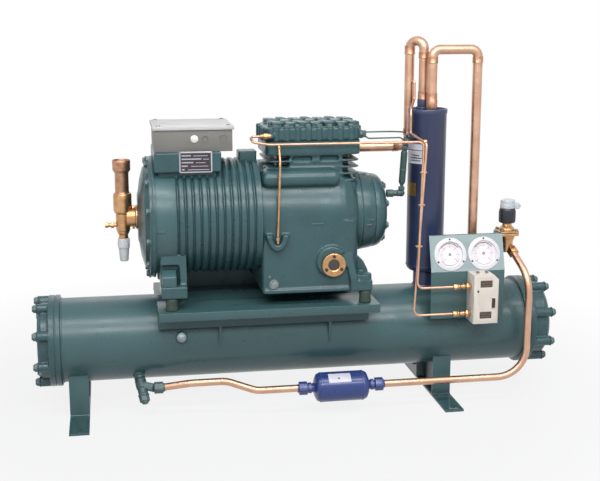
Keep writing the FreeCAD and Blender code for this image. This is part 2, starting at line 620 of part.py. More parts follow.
def crankcase():
    """The cylinder block casting: crank chamber, cylinder bores, fins, galleries, feet and bosses."""
    deep = case_half_depth
    left, right = case_left, case_right
    lower = block("case_lower", (left, -deep, case_floor), (right, deep, crank_z))
    length = S.case_length
    drop = S.shoulder_drop
    profile = [(0, 0), (deep, 0), (deep, length - S.shoulder_length),
               (deep - drop * 0.3, length - S.shoulder_length * 0.42), (deep - drop, length), (0, length)]
    barrel = turned("case_barrel", profile, (left, 0, crank_z), "x")
    base = block("case_base", (left, -deep - S.case_base_lip, case_floor),
                 (right + S.case_base_lip, deep + S.case_base_lip, case_floor + S.case_base_height))
    core_half = S.deck_half_depth - S.fin_inset
    core = block("deck_core", (deck_left + S.fin_inset, -core_half, crank_z),
                 (case_right - S.fin_inset / 2, core_half, deck_top))
    band_low = deck_top - S.deck_band
    band = rounded_slab("deck_slab", (deck_left, -S.deck_half_depth, band_low),
                        (deck_right, S.deck_half_depth, deck_top), S.deck_corner)
    solids = [lower, barrel, base, core, band]
    for i in range(FIN_COUNT):
        low = band_low - S.fin_pitch * (i + 1)
        end = case_right if i == FIN_COUNT - 1 else deck_right - S.fin_inset / 3
        solids.append(block(f"fin_{i}", (deck_left + S.fin_inset / 3, -S.deck_half_depth, low),
                            (end, S.deck_half_depth, low + S.fin_thick)))
    gallery_low = crank_z + S.gallery_low
    solids.append(rounded_slab("gallery", (-S.gallery_left, -gallery_reach, gallery_low),
                               (S.gallery_right, gallery_reach, gallery_low + S.gallery_tall),
                               S.gallery_corner))
    web_half = S.deck_half_depth - S.deck_web_inset
    web_left = deck_left + S.deck_web_start
    web_right = web_left + S.deck_web_length
    web = block("deck_web", (web_left, -web_half, gallery_low), (web_right, web_half, deck_top))
    slot_high = band_low - S.fin_thick / 4
    middle_x = web_left + S.deck_web_length / 2
    slots = []
    gap = S.deck_slot_gap / 2
    for i, start in enumerate((middle_x - gap - S.deck_slot_length, middle_x + gap)):
        for side, sign in (("front", -1), ("rear", 1)):
            near, far = sign * web_half, sign * (web_half - S.deck_slot_deep)
            lows = (near, far) if sign < 0 else (far, near)
            slots.append(block(f"deck_slot_{i}_{side}", (start, lows[0], slot_high - S.deck_slot_height),
                               (start + S.deck_slot_length, lows[1], slot_high)))
    solids.append(carve("deck_web_slotted", web, slots))
    for side, sign in (("front", -1), ("rear", 1)):
        reach = sign * foot_reach
        near = sign * (deep - S.case_wall)
        lows = (reach, near) if sign < 0 else (near, reach)
        solids.append(block(f"case_foot_{side}", (S.case_foot_left, lows[0], case_floor),
                            (S.case_foot_right, lows[1], case_floor + S.foot_pad)))
        outline = [(near, case_floor), (reach, case_floor), (reach, case_floor + S.foot_pad),
                   (sign * deep, case_floor + S.case_foot_web), (near, case_floor + S.case_foot_web)]
        solids.append(extruded(f"case_web_{side}", outline, S.foot_web_thick,
                               (S.case_foot_left, 0, 0), ALONG_X))
    sight_z = crank_z - S.sight_drop
    solids.append(rod("sight_boss", S.sight_boss_radius - S.sight_hood, S.sight_boss_depth,
                      (S.sight_x, -deep, sight_z), "-y"))
    solids.append(rod("sight_hood", S.sight_boss_radius, S.sight_boss_depth,
                      (S.sight_x, -deep, sight_z + S.sight_hood), "-y"))
    lug_z = crank_z - S.lug_drop
    lug = rod("lug_round", S.lug_radius, S.lug_depth, (S.lug_x, -deep, lug_z), "-y")
    lug_top = block("lug_top", (S.lug_x - S.lug_radius, -deep - S.lug_depth, lug_z),
                    (S.lug_x + S.lug_radius, -deep, lug_z + S.lug_radius))
    cup = rod("lug_cup", S.lug_radius - S.lug_wall, S.lug_depth, (S.lug_x, -deep, lug_z), "-y")
    solids.append(carve("lug", lug, [lug_top, cup]))
    cast = join("case_cast", solids)
    chamber = rod("chamber", S.chamber_radius, S.case_length - S.case_wall,
                  (left + S.case_wall, 0, crank_z), "x")
    sump = block("sump", (left + S.case_wall, -S.chamber_radius, case_floor + S.case_wall),
                 (right - S.case_wall, S.chamber_radius, crank_z))
    cuts = [chamber, sump]
    middle = (deck_left + deck_right) / 2
    for i, sign in enumerate((-1, 1)):
        cuts.append(rod(f"cylinder_bore_{i}", S.bore_radius, S.deck_height,
                        (middle + sign * S.bore_spacing / 2, 0, crank_z)))
    hollow = carve("case_hollow", cast, cuts)
    boss = rod("main_boss", S.bearing_boss, S.bush_length, (left, 0, crank_z), "x")
    bore = rod("main_bore", S.journal_radius + S.running_gap + S.bush_wall, S.bush_length,
               (left, 0, crank_z), "x")
    finish(carve("case", join("case_bossed", [hollow, boss]), [bore]), "crankcase")


def motor_housing():
    """The ribbed motor barrel with its terminal boss and feet."""
    left = motor_left
    profile = [(S.barrel_radius - S.barrel_wall, 0), (S.barrel_radius, 0), (S.barrel_radius, S.smooth_band)]
    for i in range(RIB_COUNT):
        start = S.smooth_band + S.rib_pitch * i
        profile += [(S.barrel_radius - S.rib_depth, start + S.rib_groove / 2),
                    (S.barrel_radius, start + S.rib_groove), (S.barrel_radius, start + S.rib_pitch)]
    profile[-1] = (S.barrel_radius, S.motor_length)
    profile.append((S.barrel_radius - S.barrel_wall, S.motor_length))
    barrel = turned("barrel", profile, (left, 0, crank_z), "x")
    boss = block("box_boss", (left, -S.box_boss_front, crank_z + S.box_boss_low),
                 (-S.box_boss_right, S.box_boss_rear, crank_z + S.box_boss_top))
    step = block("motor_step", (-S.step_left, -S.step_half_depth, crank_z),
                 (case_left, S.step_half_depth, crank_z + S.step_top))
    solids = [barrel, boss, step]
    reach = foot_reach
    top = case_floor + S.foot_pad
    inner = S.barrel_radius / 2
    length = S.motor_foot_left - S.motor_foot_right
    outline = [(-reach, case_floor), (-reach, top), (-reach + S.foot_web_thick, top),
               (-reach + S.foot_web_thick * 2, crank_z - S.barrel_radius / 2), (-inner, crank_z - inner),
               (-inner, top), (-inner - S.foot_web_thick, case_floor)]
    for side, corners in mirrored_outlines(outline).items():
        solids.append(extruded(f"motor_foot_{side}", corners, length, (-S.motor_foot_left, 0, 0), ALONG_X))
    bore = rod("motor_bore", S.barrel_radius - S.barrel_wall, S.motor_length, (left, 0, crank_z), "x")
    recesses = []
    for side, sign in (("front", -1), ("rear", 1)):
        edge = sign * reach
        near = sign * (inner + S.foot_web_thick * 2)
        lows = (edge, near) if sign < 0 else (near, edge)
        recesses.append(block(f"foot_recess_{side}", (-S.motor_foot_left, lows[0], top),
                              (-S.motor_foot_right - S.foot_web_thick, lows[1], crank_z - S.barrel_radius * 0.7)))
    finish(carve("housing", join("housing_cast", solids), [bore] + recesses), "motor_housing")


def motor_end_cover():
    """The dished cover on the motor's end, with the suction port in its nose."""
    shell = S.cover_shell
    reach = S.cover_reach
    inner = S.barrel_radius - S.barrel_wall
    profile = [(inner, 0), (rim_radius, 0), (rim_radius, S.rim_thick),
               (end_bolt_circle - S.end_bolt_flats * 0.7, S.rim_thick), (inner, S.rim_thick + shell),
               (S.nose_radius, reach), (S.suction_bore, reach), (S.suction_bore, reach - shell),
               (S.nose_radius, reach - shell), (inner - shell, S.rim_thick)]
    finish(turned("end_cover", profile, (motor_left, 0, crank_z), "-x"), "motor_end_cover")


def end_cover_bolts():
    """The bolts round the motor end cover's rim."""
    heads = ring_of(END_BOLT_COUNT, lambda i, c, s: hexagon(
        f"end_bolt_{i}", S.end_bolt_flats, S.end_bolt_head,
        (motor_left - S.rim_thick, end_bolt_circle * c, crank_z + end_bolt_circle * s), "-x"))
    finish(join("end_bolts", heads), "end_cover_bolts")


def bearing_cover():
    """The outer bearing housing, with a groove at its flange joint."""
    radius = S.bearing_cover_radius
    length = S.bearing_cover_length
    groove = S.bearing_groove
    bush = S.journal_radius + S.running_gap + S.bush_wall
    inner = radius - S.pump_wall
    end = pump_cover_radius
    profile = [(bush, 0), (S.bearing_boss, 0), (S.bearing_boss, length - S.pump_wall),
               (inner - S.bearing_taper, length - S.pump_wall), (inner, 0), (radius, 0),
               (radius, S.bearing_flange),
               (radius - groove, S.bearing_flange + groove), (radius, S.bearing_flange + groove * 2),
               (end, length), (bush, length)]
    finish(turned("bearing_housing", profile, (case_right, 0, crank_z), "x"), "bearing_cover")


def oil_pump_cover():
    """The rounded cover over the oil pump."""
    radius = pump_cover_radius - S.bearing_groove / 2
    length = S.pump_cover_length
    wall = S.pump_wall
    face = S.pump_face_radius
    swell = (radius - face) * 0.7
    profile = [(radius - wall, 0), (radius, 0), (radius - swell / 8, length * 0.35),
               (face + swell, length * 0.72),
               (face, length), (0, length), (0, length - wall), (face - wall, length - wall),
               (radius - wall, length * 0.35)]
    start = case_right + S.bearing_cover_length
    cover = turned("pump_cover_turned", profile, (start, 0, crank_z), "x")
    finish(cover, "oil_pump_cover")


def pump_cover_bolts():
    """The bolts round the oil pump cover's face."""
    start = case_right + S.bearing_cover_length + S.pump_cover_length
    circle = S.pump_face_radius - S.pump_bolt_flats * 0.75
    finish(join("pump_bolts", ring_of(PUMP_BOLT_COUNT, lambda i, c, s: hexagon(
        f"pump_bolt_{i}", S.pump_bolt_flats, S.pump_bolt_head,
        (start, circle * c, crank_z + circle * s), "x"))), "pump_cover_bolts")


def valve_plate():
    """The plate between the cylinder deck and the head."""
    finish(rounded_slab("plate", (deck_left, -S.deck_half_depth, deck_top),
                        (deck_right, S.deck_half_depth, head_base), S.deck_corner), "valve_plate")


def head_columns():
    """Places of the head's bolt columns, as (x, y) along both long sides."""
    length = S.deck_length - S.head_corner * 2
    places = []
    for i in range(HEAD_COLUMN_COUNT):
        x = deck_left + S.head_corner + length * (i / (HEAD_COLUMN_COUNT - 1))
        for sign in (-1, 1):
            places.append((x, sign * (S.deck_half_depth - S.head_column)))
    return places


def cylinder_head():
    """The head casting: hollow box with bolt columns and a waffle of pads on its top."""
    side = S.deck_half_depth - S.head_column / 2
    slab = rounded_slab("head_slab", (deck_left, -side, head_base), (deck_right, side, head_top),
                        S.head_corner)
    solids = [slab]
    for i, (x, y) in enumerate(head_columns()):
        solids.append(rod(f"head_column_{i}", S.head_column, S.head_height, (x, y, head_base)))
    length = S.deck_length
    pitch = length / (HEAD_COLUMN_COUNT + 0.5)
    row_pitch = S.head_pad_depth + S.head_pad_depth / 4
    for row in range(HEAD_ROW_COUNT):
        y = row_pitch * (row - (HEAD_ROW_COUNT - 1) / 2)
        for column in range(HEAD_COLUMN_COUNT):
            x = deck_left + length / 2 + pitch * (column - (HEAD_COLUMN_COUNT - 1) / 2)
            solids.append(block(f"head_pad_{row}_{column}",
                                (x - S.head_pad_width / 2, y - S.head_pad_depth / 2, head_top - 1),
                                (x + S.head_pad_width / 2, y + S.head_pad_depth / 2,
                                 head_top + S.head_pad_rise)))
    fitting_z = head_base + S.head_height / 2
    solids.append(rod("head_adaptor", S.head_column, S.head_column * 2,
                      (deck_right - S.head_wall / 2, -S.head_fitting_y, fitting_z), "x"))
    wall = S.head_wall
    hollow = block("head_hollow", (deck_left + wall, -side + wall * 2, head_base),
                   (deck_right - wall, side - wall * 2, head_top - wall))
    finish(carve("head", join("head_cast", solids), [hollow]), "cylinder_head")


def head_bolts():
    """Hexagon heads on the head's bolt columns."""
    heads = [hexagon(f"head_bolt_{i}", S.head_bolt_flats, S.head_bolt_head, (x, y, head_top))
             for i, (x, y) in enumerate(head_columns())]
    finish(join("head_bolt_heads", heads), "head_bolts")


def stator():
    """The laminated stator with its end windings, in the motor's bore."""
    right = case_left - S.stator_right_gap
    inner = S.stator_bore
    reach = S.winding_reach
    length = S.stator_length
    shell = S.barrel_radius - S.barrel_wall
    wound = shell - S.winding_inset
    profile = [(inner, 0), (shell, 0), (shell, length), (wound, length), (wound, length + reach),
               (inner + S.shaft_radius / 2, length + reach), (inner + S.shaft_radius / 2, length),
               (inner, length)]
    back = [(inner + S.shaft_radius / 2, -reach), (wound, -reach), (wound, 0), (inner + S.shaft_radius / 2, 0)]
    core = turned("stator_core", profile, (right - length, 0, crank_z), "x")
    coil = turned("stator_back_winding", back, (right - length, 0, crank_z), "x")
    finish(join("stator_wound", [core, coil]), "stator")


def rotor():
    """The squirrel-cage rotor on the crankshaft's motor end."""
    right = case_left - S.stator_right_gap
    over = S.rotor_overhang
    outer = S.stator_bore - S.air_gap
    length = S.stator_length + over * 2
    profile = [(S.shaft_radius, 0), (outer - over, 0), (outer, over), (outer, length - over),
               (outer - over, length), (S.shaft_radius, length)]
    finish(turned("rotor_cage", profile, (right - S.stator_length - over, 0, crank_z), "x"), "rotor")


def crankshaft():
    """The shaft with two throws, from the rotor to the outer bearing."""
    right = case_left - S.stator_right_gap
    start = right - S.stator_length - S.rotor_overhang * 2
    end = case_right + S.bearing_cover_length
    middle = (deck_left + deck_right) / 2
    gap = S.web_thick
    shaft = rod("shaft", S.shaft_radius, case_left - start, (start, 0, crank_z), "x")
    first_pin = middle - S.bore_spacing / 2
    second_pin = middle + S.bore_spacing / 2
    half = S.pin_length / 2
    journal_one = rod("inner_journal", S.journal_radius, first_pin - half - case_left,
                      (case_left, 0, crank_z), "x")
    journal_two = rod("outer_journal", S.journal_radius, end - second_pin - half,
                      (second_pin + half, 0, crank_z), "x")
    between = rod("middle_journal", S.pin_radius, S.bore_spacing - S.pin_length,
                  (first_pin + half, 0, crank_z), "x")
    pieces = [shaft, journal_one, journal_two, between]
    for name, x, sign in (("first", first_pin, 1), ("second", second_pin, -1)):
        pieces.append(rod(f"{name}_pin", S.pin_radius, S.pin_length,
                          (x - half, 0, crank_z + sign * S.crank_throw), "x"))
        for side, low in (("left", x - half - gap), ("right", x + half)):
            pieces.append(rod(f"{name}_{side}_web", S.web_radius, gap, (low, 0, crank_z), "x"))
    finish(join("crank", pieces), "crankshaft")


def main_bearings():
    """The two plain bushes that the crankshaft turns in."""
    bore = S.journal_radius + S.running_gap
    profile = [(bore, 0), (bore + S.bush_wall, 0), (bore + S.bush_wall, S.bush_length), (bore, S.bush_length)]
    inner = turned("inner_bush", profile, (case_left, 0, crank_z), "x")
    outer = turned("outer_bush", profile, (case_right, 0, crank_z), "x")
    finish(join("bushes", [inner, outer]), "main_bearings")


def terminal_box():
    """The sheet-metal terminal box on the motor's boss."""
    low = crank_z + S.box_boss_top
    sheet = S.box_sheet
    outer = block("box_outer", (-S.box_left, -S.box_front, low),
                  (-S.box_right, S.box_rear, low + S.box_height))
    inner = block("box_inner", (-S.box_left + sheet, -S.box_front + sheet, low + sheet),
                  (-S.box_right - sheet, S.box_rear - sheet, low + S.box_height))
    finish(carve("box", outer, [inner]), "terminal_box")
    over = S.lid_over
    top = low + S.box_height + sheet
    lid = block("lid_outer", (-S.box_left - over, -S.box_front - over, top - S.lid_height),
                (-S.box_right + over, S.box_rear + over, top))
    hollow = block("lid_inner", (-S.box_left - over + sheet, -S.box_front - over + sheet, top - S.lid_height),
                   (-S.box_right + over - sheet, S.box_rear + over - sheet, top - sheet))
    finish(carve("lid", lid, [hollow]), "terminal_lid")
    x = -(S.box_left + S.box_right) / 2
    y = (S.box_rear - S.box_front) / 2
    floor = low + sheet
    board = block("board", (x - S.board_length / 2, y - S.board_depth / 2, floor),
                  (x + S.board_length / 2, y + S.board_depth / 2, floor + S.board_height))
    studs = []
    for i in range(3):
        for j in range(2):
            studs.append(rod(f"stud_{i}_{j}", S.stud_radius, S.stud_height,
                             (x + S.board_length * (i - 1) / 3, y + S.board_depth * (j - 0.5) / 2,
                              floor + S.board_height)))
    finish(join("board_studs", [board] + studs), "terminal_board")


def knockout_plugs():
    """Blanking plugs in the terminal box's cable entries."""
    z = crank_z + S.box_boss_top + S.knockout_level
    plugs = []
    for i, reach in enumerate((S.knockout_near_reach, S.knockout_mid_reach, S.knockout_far_reach)):
        plugs.append(rod(f"knockout_{i}", S.knockout_radius, S.knockout_rise,
                         (-S.box_left + reach, -S.box_front, z), "-y"))
    finish(join("knockouts", plugs), "knockout_plugs")


def sight_glass():
    """The brass ring and the oil level glass that it holds."""
    start = -case_half_depth - S.sight_boss_depth
    z = crank_z - S.sight_drop
    depth = S.glass_ring_depth
    recess = S.glass_recess
    profile = [(0, 0), (S.glass_ring_radius, 0), (S.glass_ring_radius, depth), (S.glass_radius, depth),
               (S.glass_radius, recess), (0, recess)]
    finish(turned("glass_ring", profile, (S.sight_x, start, z), "-y"), "sight_glass_ring")
    finish(rod("lens", S.glass_radius, depth - recess * 2, (S.sight_x, start - recess, z), "-y"),
           "sight_glass_lens")


def pipe_plugs():
    """Hexagon plugs: crankcase drain and the shell's service plug."""
    case_plug = hexagon("case_plug", S.case_plug_flats, S.case_plug_head,
                        (S.case_plug_x, -case_half_depth, crank_z - S.case_plug_drop), "-y")
    seat = S.shell_radius + S.shell_plug_rise
    shell_plug = hexagon("shell_plug", S.shell_plug_flats, S.shell_plug_head,
                         (-S.shell_plug_x, -seat * cosine(S.shell_plug_angle),
                          shell_z + seat * sine(S.shell_plug_angle)), radial(S.shell_plug_angle))
    finish(join("plugs", [case_plug, shell_plug]), "pipe_plugs")


def suction_valve():
    """The suction service valve: brass body, copper stub, spindle, disc and cap."""
    x = -S.suction_x
    start = motor_left - S.cover_reach
    low = crank_z - S.valve_body_below
    top = crank_z + S.valve_body_above
    tall = S.valve_body_above + S.valve_body_below
    column = rod("valve_column", S.valve_body_radius, tall, (x, 0, low))
    collar = rod("valve_collar", S.collar_radius, S.collar_height, (x, 0, top - S.collar_height + S.stub_seat))
    branch = rod("valve_branch", S.branch_radius, start - x, (x, 0, crank_z), "x")
    flange = rod("valve_flange_disc", S.valve_flange_radius, S.valve_flange, (start, 0, crank_z), "-x")
    neck = rod("valve_neck_tube", S.valve_neck_radius, S.valve_neck, (x, 0, low - S.valve_neck))
    port = rod("valve_port", S.port_radius, S.port_reach, (x, 0, crank_z - S.port_drop), "-x")
    cast = join("valve_cast", [column, collar, branch, flange, neck, port])
    passage = rod("valve_passage", S.passage_radius, tall, (x, 0, low + S.valve_neck_radius))
    seat = rod("stub_socket", S.stub_radius, S.stub_seat * 2, (x, 0, top - S.stub_seat))
    side = rod("branch_passage", S.passage_radius, start - x, (x, 0, crank_z), "x")
    stem_hole = rod("stem_hole", S.spindle_radius + S.running_gap, S.valve_neck + S.valve_neck_radius,
                    (x, 0, low - S.valve_neck))
    finish(carve("valve_body", cast, [passage, seat, side, stem_hole]), "suction_valve_body")
    inner = S.stub_radius - S.stub_wall
    foot_z = top - S.stub_seat
    bell = S.stub_length - S.bell_length
    socket = S.suction_pipe + S.solder_gap
    profile = [(inner, 0), (S.stub_radius, 0), (S.stub_radius, bell - S.stub_seat),
               (socket + S.stub_wall, bell), (socket + S.stub_wall, S.stub_length + S.stub_seat),
               (socket, S.stub_length + S.stub_seat), (socket, bell), (inner, bell - S.stub_seat)]
    finish(turned("stub", profile, (x, 0, foot_z)), "suction_stub")
    square = S.spindle_square
    stem_low = low - S.valve_neck - S.valve_body_below / 2
    stem_length = S.valve_neck + S.valve_body_below
    stem = rod("stem", S.spindle_radius, stem_length, (x, 0, stem_low + square * 2))
    drive = block("stem_square", (x - square / 2, -square / 2, stem_low), (x + square / 2, square / 2,
                                                                          stem_low + square * 2))
    finish(join("spindle", [stem, drive]), "suction_spindle")
    stem_top = stem_low + square * 2 + stem_length
    disc_low = stem_top - S.disc_height * 0.75
    disc = rod("disc", S.disc_radius, S.disc_height, (x, 0, disc_low))
    hole = rod("disc_hole", S.spindle_radius + S.running_gap, S.disc_height * 0.75 + S.pipe_gap,
               (x, 0, disc_low))
    finish(carve("disc_cup", disc, [hole]), "suction_disc")
    cap_top = low - S.valve_neck / 3
    cap_in = S.valve_neck_radius + S.pipe_gap
    length = S.valve_cap_length
    profile = [(cap_in, 0), (S.valve_cap_radius, 0), (S.valve_cap_radius, -length * 0.45),
               (S.valve_cap_radius * 0.72, -length), (0, -length), (0, -length + S.cap_wall * 2),
               (S.valve_cap_radius * 0.72 - S.cap_wall, -length + S.cap_wall * 2), (cap_in, -length * 0.45)]
    finish(turned("cap", profile, (x, 0, cap_top)), "suction_valve_cap")


def tube_feature(name, label, solids):
    """Fuses plain solids into one sub-part made in place."""
    thing = doc.addObject("Part::Feature", name)
    thing.Shape = solids[0].multiFuse(solids[1:]).removeSplitter()
    thing.Placement = Placement()
    finish(thing, label)


def discharge_pipe():
    """Hot gas pipe from the deck's end up and over into the separator, with brazed couplings."""
    z = deck_top - S.discharge_drop
    top = S.riser_top
    half = root((inlet_x - S.riser_x) * (inlet_x - S.riser_x) + (S.riser_y - S.inlet_y)
                * (S.riser_y - S.inlet_y)) / 2
    run = swept([(deck_right, S.riser_y, z), (S.riser_x, S.riser_y, z), (S.riser_x, S.riser_y, top),
                 (inlet_x, S.inlet_y, top), (inlet_x, S.inlet_y, S.separator_top + S.coupling_length)],
                [S.riser_bend, half * 0.98, half * 0.98], S.riser_pipe)
    sleeve = Part.makeCylinder(value(S.discharge_pipe), value(S.riser_x - deck_right - S.riser_bend),
                               Vector(value(deck_right), value(S.riser_y), value(z)), Vector(1, 0, 0))
    rings = [Part.makeCylinder(value(S.riser_pipe + S.coupling_rise / 2), value(S.coupling_length),
                               Vector(value(x), value(y), value(top - half - S.coupling_length)))
             for x, y in ((S.riser_x, S.riser_y), (inlet_x, S.inlet_y))]
    tube_feature("discharge", "discharge_pipe", [run, sleeve] + rings)


def separator_outlet_pipe():
    """Gas pipe from the separator's top over and down into the condenser shell."""
    y = -S.outlet_y
    low = S.separator_top + S.coupling_length
    z = S.crossover_z
    end = shell_z + S.shell_radius - S.shell_wall / 2
    run = swept([(outlet_x, y, low), (outlet_x, y, z), (S.drop_x, y, z), (S.drop_x, y, end)],
                S.crossover_bend, S.riser_pipe)
    rings = [Part.makeCylinder(value(S.riser_pipe + S.coupling_rise / 2), value(S.coupling_length / 2),
                               Vector(value(x), value(y), value(z - S.crossover_bend - S.coupling_length)))
             for x in (outlet_x, S.drop_x)]
    tube_feature("outlet", "separator_outlet_pipe", [run] + rings)


def oil_separator():
    """The separator vessel with its necks, float hinge lugs and the leg that stands it on the shell."""
    x = separator_x
    radius = S.separator_radius
    wall = S.separator_wall
    low, top = S.separator_low, S.separator_top
    tall = top - low
    soft = S.separator_round
    profile = [(0, 0), (radius - soft, 0), (radius - soft / 3, soft / 3), (radius, soft),
               (radius, tall - S.separator_rim_height),
               (radius + S.separator_rim, tall - S.separator_rim_height),
               (radius + S.separator_rim, tall), (0, tall)]
    vessel = turned("vessel", profile, (x, 0, low))
    leg = rod("separator_leg_tube", S.separator_leg, low - shell_z, (x, 0, shell_z))
    seated = carve("separator_foot", leg, [shell_core("separator_shell")])
    necks = [rod("inlet_neck", S.riser_pipe + S.coupling_rise, S.coupling_length,
                 (inlet_x, S.inlet_y, top)),
             rod("outlet_neck", S.riser_pipe + S.coupling_rise, S.coupling_length,
                 (outlet_x, -S.outlet_y, top))]
    boss = rod("oil_boss", S.oil_boss_radius, S.oil_boss_reach,
               (x, -S.oil_return_y, S.oil_return_z), "-x")
    outside = join("separator_outside", [vessel, seated, boss] + necks)
    inner = [(0, wall), (radius - wall - soft / 3, wall), (radius - wall, soft),
             (radius - wall, tall - wall * 2),
             (0, tall - wall * 2)]
    hollow = turned("vessel_bore", inner, (x, 0, low))
    emptied = carve("separator_emptied", outside, [hollow])
    pivot_x = x - S.float_pivot
    reach = radius - wall / 2
    lugs = []
    for name, y in (("front", -S.float_eye - S.float_lug - S.pipe_gap), ("rear", S.float_eye + S.pipe_gap)):
        lugs.append(block(f"float_lug_{name}", (x - reach, y, S.float_level - S.float_eye),
                          (pivot_x + S.float_eye, y + S.float_lug, S.float_level + S.float_eye)))
    lugs_cut = overlap("float_lugs", join("float_lug_pair", lugs),
                       rod("lug_bound", radius - wall / 2, tall, (x, 0, low)))
    pin_hole = rod("float_pin_hole", S.float_pin + S.running_gap, S.float_pin_length + S.float_lug * 2,
                   (pivot_x, -S.float_pin_length / 2 - S.float_lug, S.float_level), "y")
    lugged = carve("float_lugs_bored", lugs_cut, [pin_hole])
    finish(join("separator", [emptied, lugged]), "oil_separator")


def separator_float():
    """The float drum on its hinged arm, inside the separator."""
    pivot = separator_x - S.float_pivot
    z = S.float_level
    pin = rod("float_hinge_pin", S.float_pin, S.float_pin_length - S.float_lug, (
        pivot, -(S.float_pin_length - S.float_lug) / 2, z), "y")
    eye = rod("float_arm_eye", S.float_eye, S.float_eye * 2, (pivot, -S.float_eye, z), "y")
    arm = rod("float_arm_rod", S.float_pin * 0.8, S.float_arm, (pivot, 0, z), "x")
    edge = S.float_radius / 4
    drum_radius = S.float_radius
    tall = S.float_height
    profile = [(0, 0), (drum_radius - edge, 0), (drum_radius, edge), (drum_radius, tall - edge),
               (drum_radius - edge, tall), (0, tall)]
    drum = turned("float_drum", profile, (pivot + S.float_arm + drum_radius * 0.8, 0, z - tall / 2))
    finish(join("float", [pin, eye, arm, drum]), "separator_float")


def oil_return_line():
    """Oil line from the separator through its strainer to the pump cover."""
    y = -S.oil_y
    low = (oil_elbow_x, y, S.oil_port_z)
    high = (strainer_top_x, y, S.oil_return_z)
    end_x = separator_x - S.oil_boss_reach
    run = swept([(pump_face + S.pipe_gap, y, S.oil_port_z), low, high,
                 (end_x - S.oil_boss_radius * 2, -S.oil_return_y, S.oil_return_z),
                 (end_x, -S.oil_return_y, S.oil_return_z)],
                [S.strainer_radius, S.strainer_bend, S.oil_end_bend], S.oil_tube)
    bottom = Vector(*[value(c) for c in low])
    axis = Vector(*[value(c) for c in high]) - bottom
    axis.normalize()
    start = bottom + axis * value(S.strainer_low - S.oil_port_z)
    barrel = Part.makeCylinder(value(S.strainer_radius), value(S.strainer_high - S.strainer_low), start, axis)
    tail = Part.makeCone(value(S.oil_tube), value(S.strainer_radius), value(S.strainer_radius),
                         start - axis * value(S.strainer_radius), axis)
    nut = Part.makeCylinder(value(S.oil_tube * 1.9), value(S.strainer_radius * 1.2),
                            bottom + axis * value(S.oil_tube * 2.2), axis)
    port = Part.makeCylinder(value(S.strainer_radius), value(S.strainer_radius),
                             Vector(value(pump_face + S.pipe_gap), value(y), value(S.oil_port_z)),
                             Vector(1, 0, 0))
    tube_feature("oil_line", "oil_return_line", [run, barrel, tail, nut, port])


def face_point(up, out=0):
    """A point on the gauge panel's sloped face: (y, z) at a distance up the face and out of it."""
    y = -S.panel_front + up * sine(S.panel_slope) - out * cosine(S.panel_slope)
    z = S.panel_bend + up * cosine(S.panel_slope) + out * sine(S.panel_slope)
    return y, z


def panel_normal():
    """Outward direction of the panel's sloped face."""
    slope = math.radians(value(S.panel_slope))
    return Vector(0, -math.cos(slope), math.sin(slope))


def gauge_panel():
    """The folded gauge panel with cheeks, seated on the shell by its lower flange."""
    sheet = S.panel_sheet
    length = S.panel_right - S.panel_left
    top_y, top_z = face_point(S.panel_face)
    front = -S.panel_front
    outline = [(front, S.panel_low), (front, S.panel_bend), (top_y, top_z), (top_y + S.panel_lip, top_z),
               (top_y + S.panel_lip, top_z - sheet), (top_y + sheet, top_z - sheet),
               (front + sheet, S.panel_bend), (front + sheet, S.panel_low + sheet),
               (-S.shell_radius / 2, S.panel_low + sheet), (-S.shell_radius / 2, S.panel_low)]
    skin = extruded("panel_skin", outline, length, (S.panel_left, 0, 0), ALONG_X)
    cheek = [(front + sheet, S.panel_bend), (top_y + sheet, top_z - sheet), (-S.cheek_rear, top_z - sheet),
             (-S.cheek_rear, S.cheek_low), (front + sheet * 8, S.panel_bend)]
    side = extruded("right_cheek", cheek, sheet, (S.panel_right - sheet, 0, 0), ALONG_X)
    y, z = face_point(S.gauge_up, sheet * 2)
    holes = [rod(f"gauge_hole_{i}", S.gauge_cup_radius + S.pipe_gap, sheet * 6, (x, y, z), -panel_normal())
             for i, x in enumerate((S.left_gauge_x, S.right_gauge_x))]
    welded = join("panel_welded", [skin, side])
    finish(carve("panel", welded, holes + [shell_core("panel_shell")]), "gauge_panel")


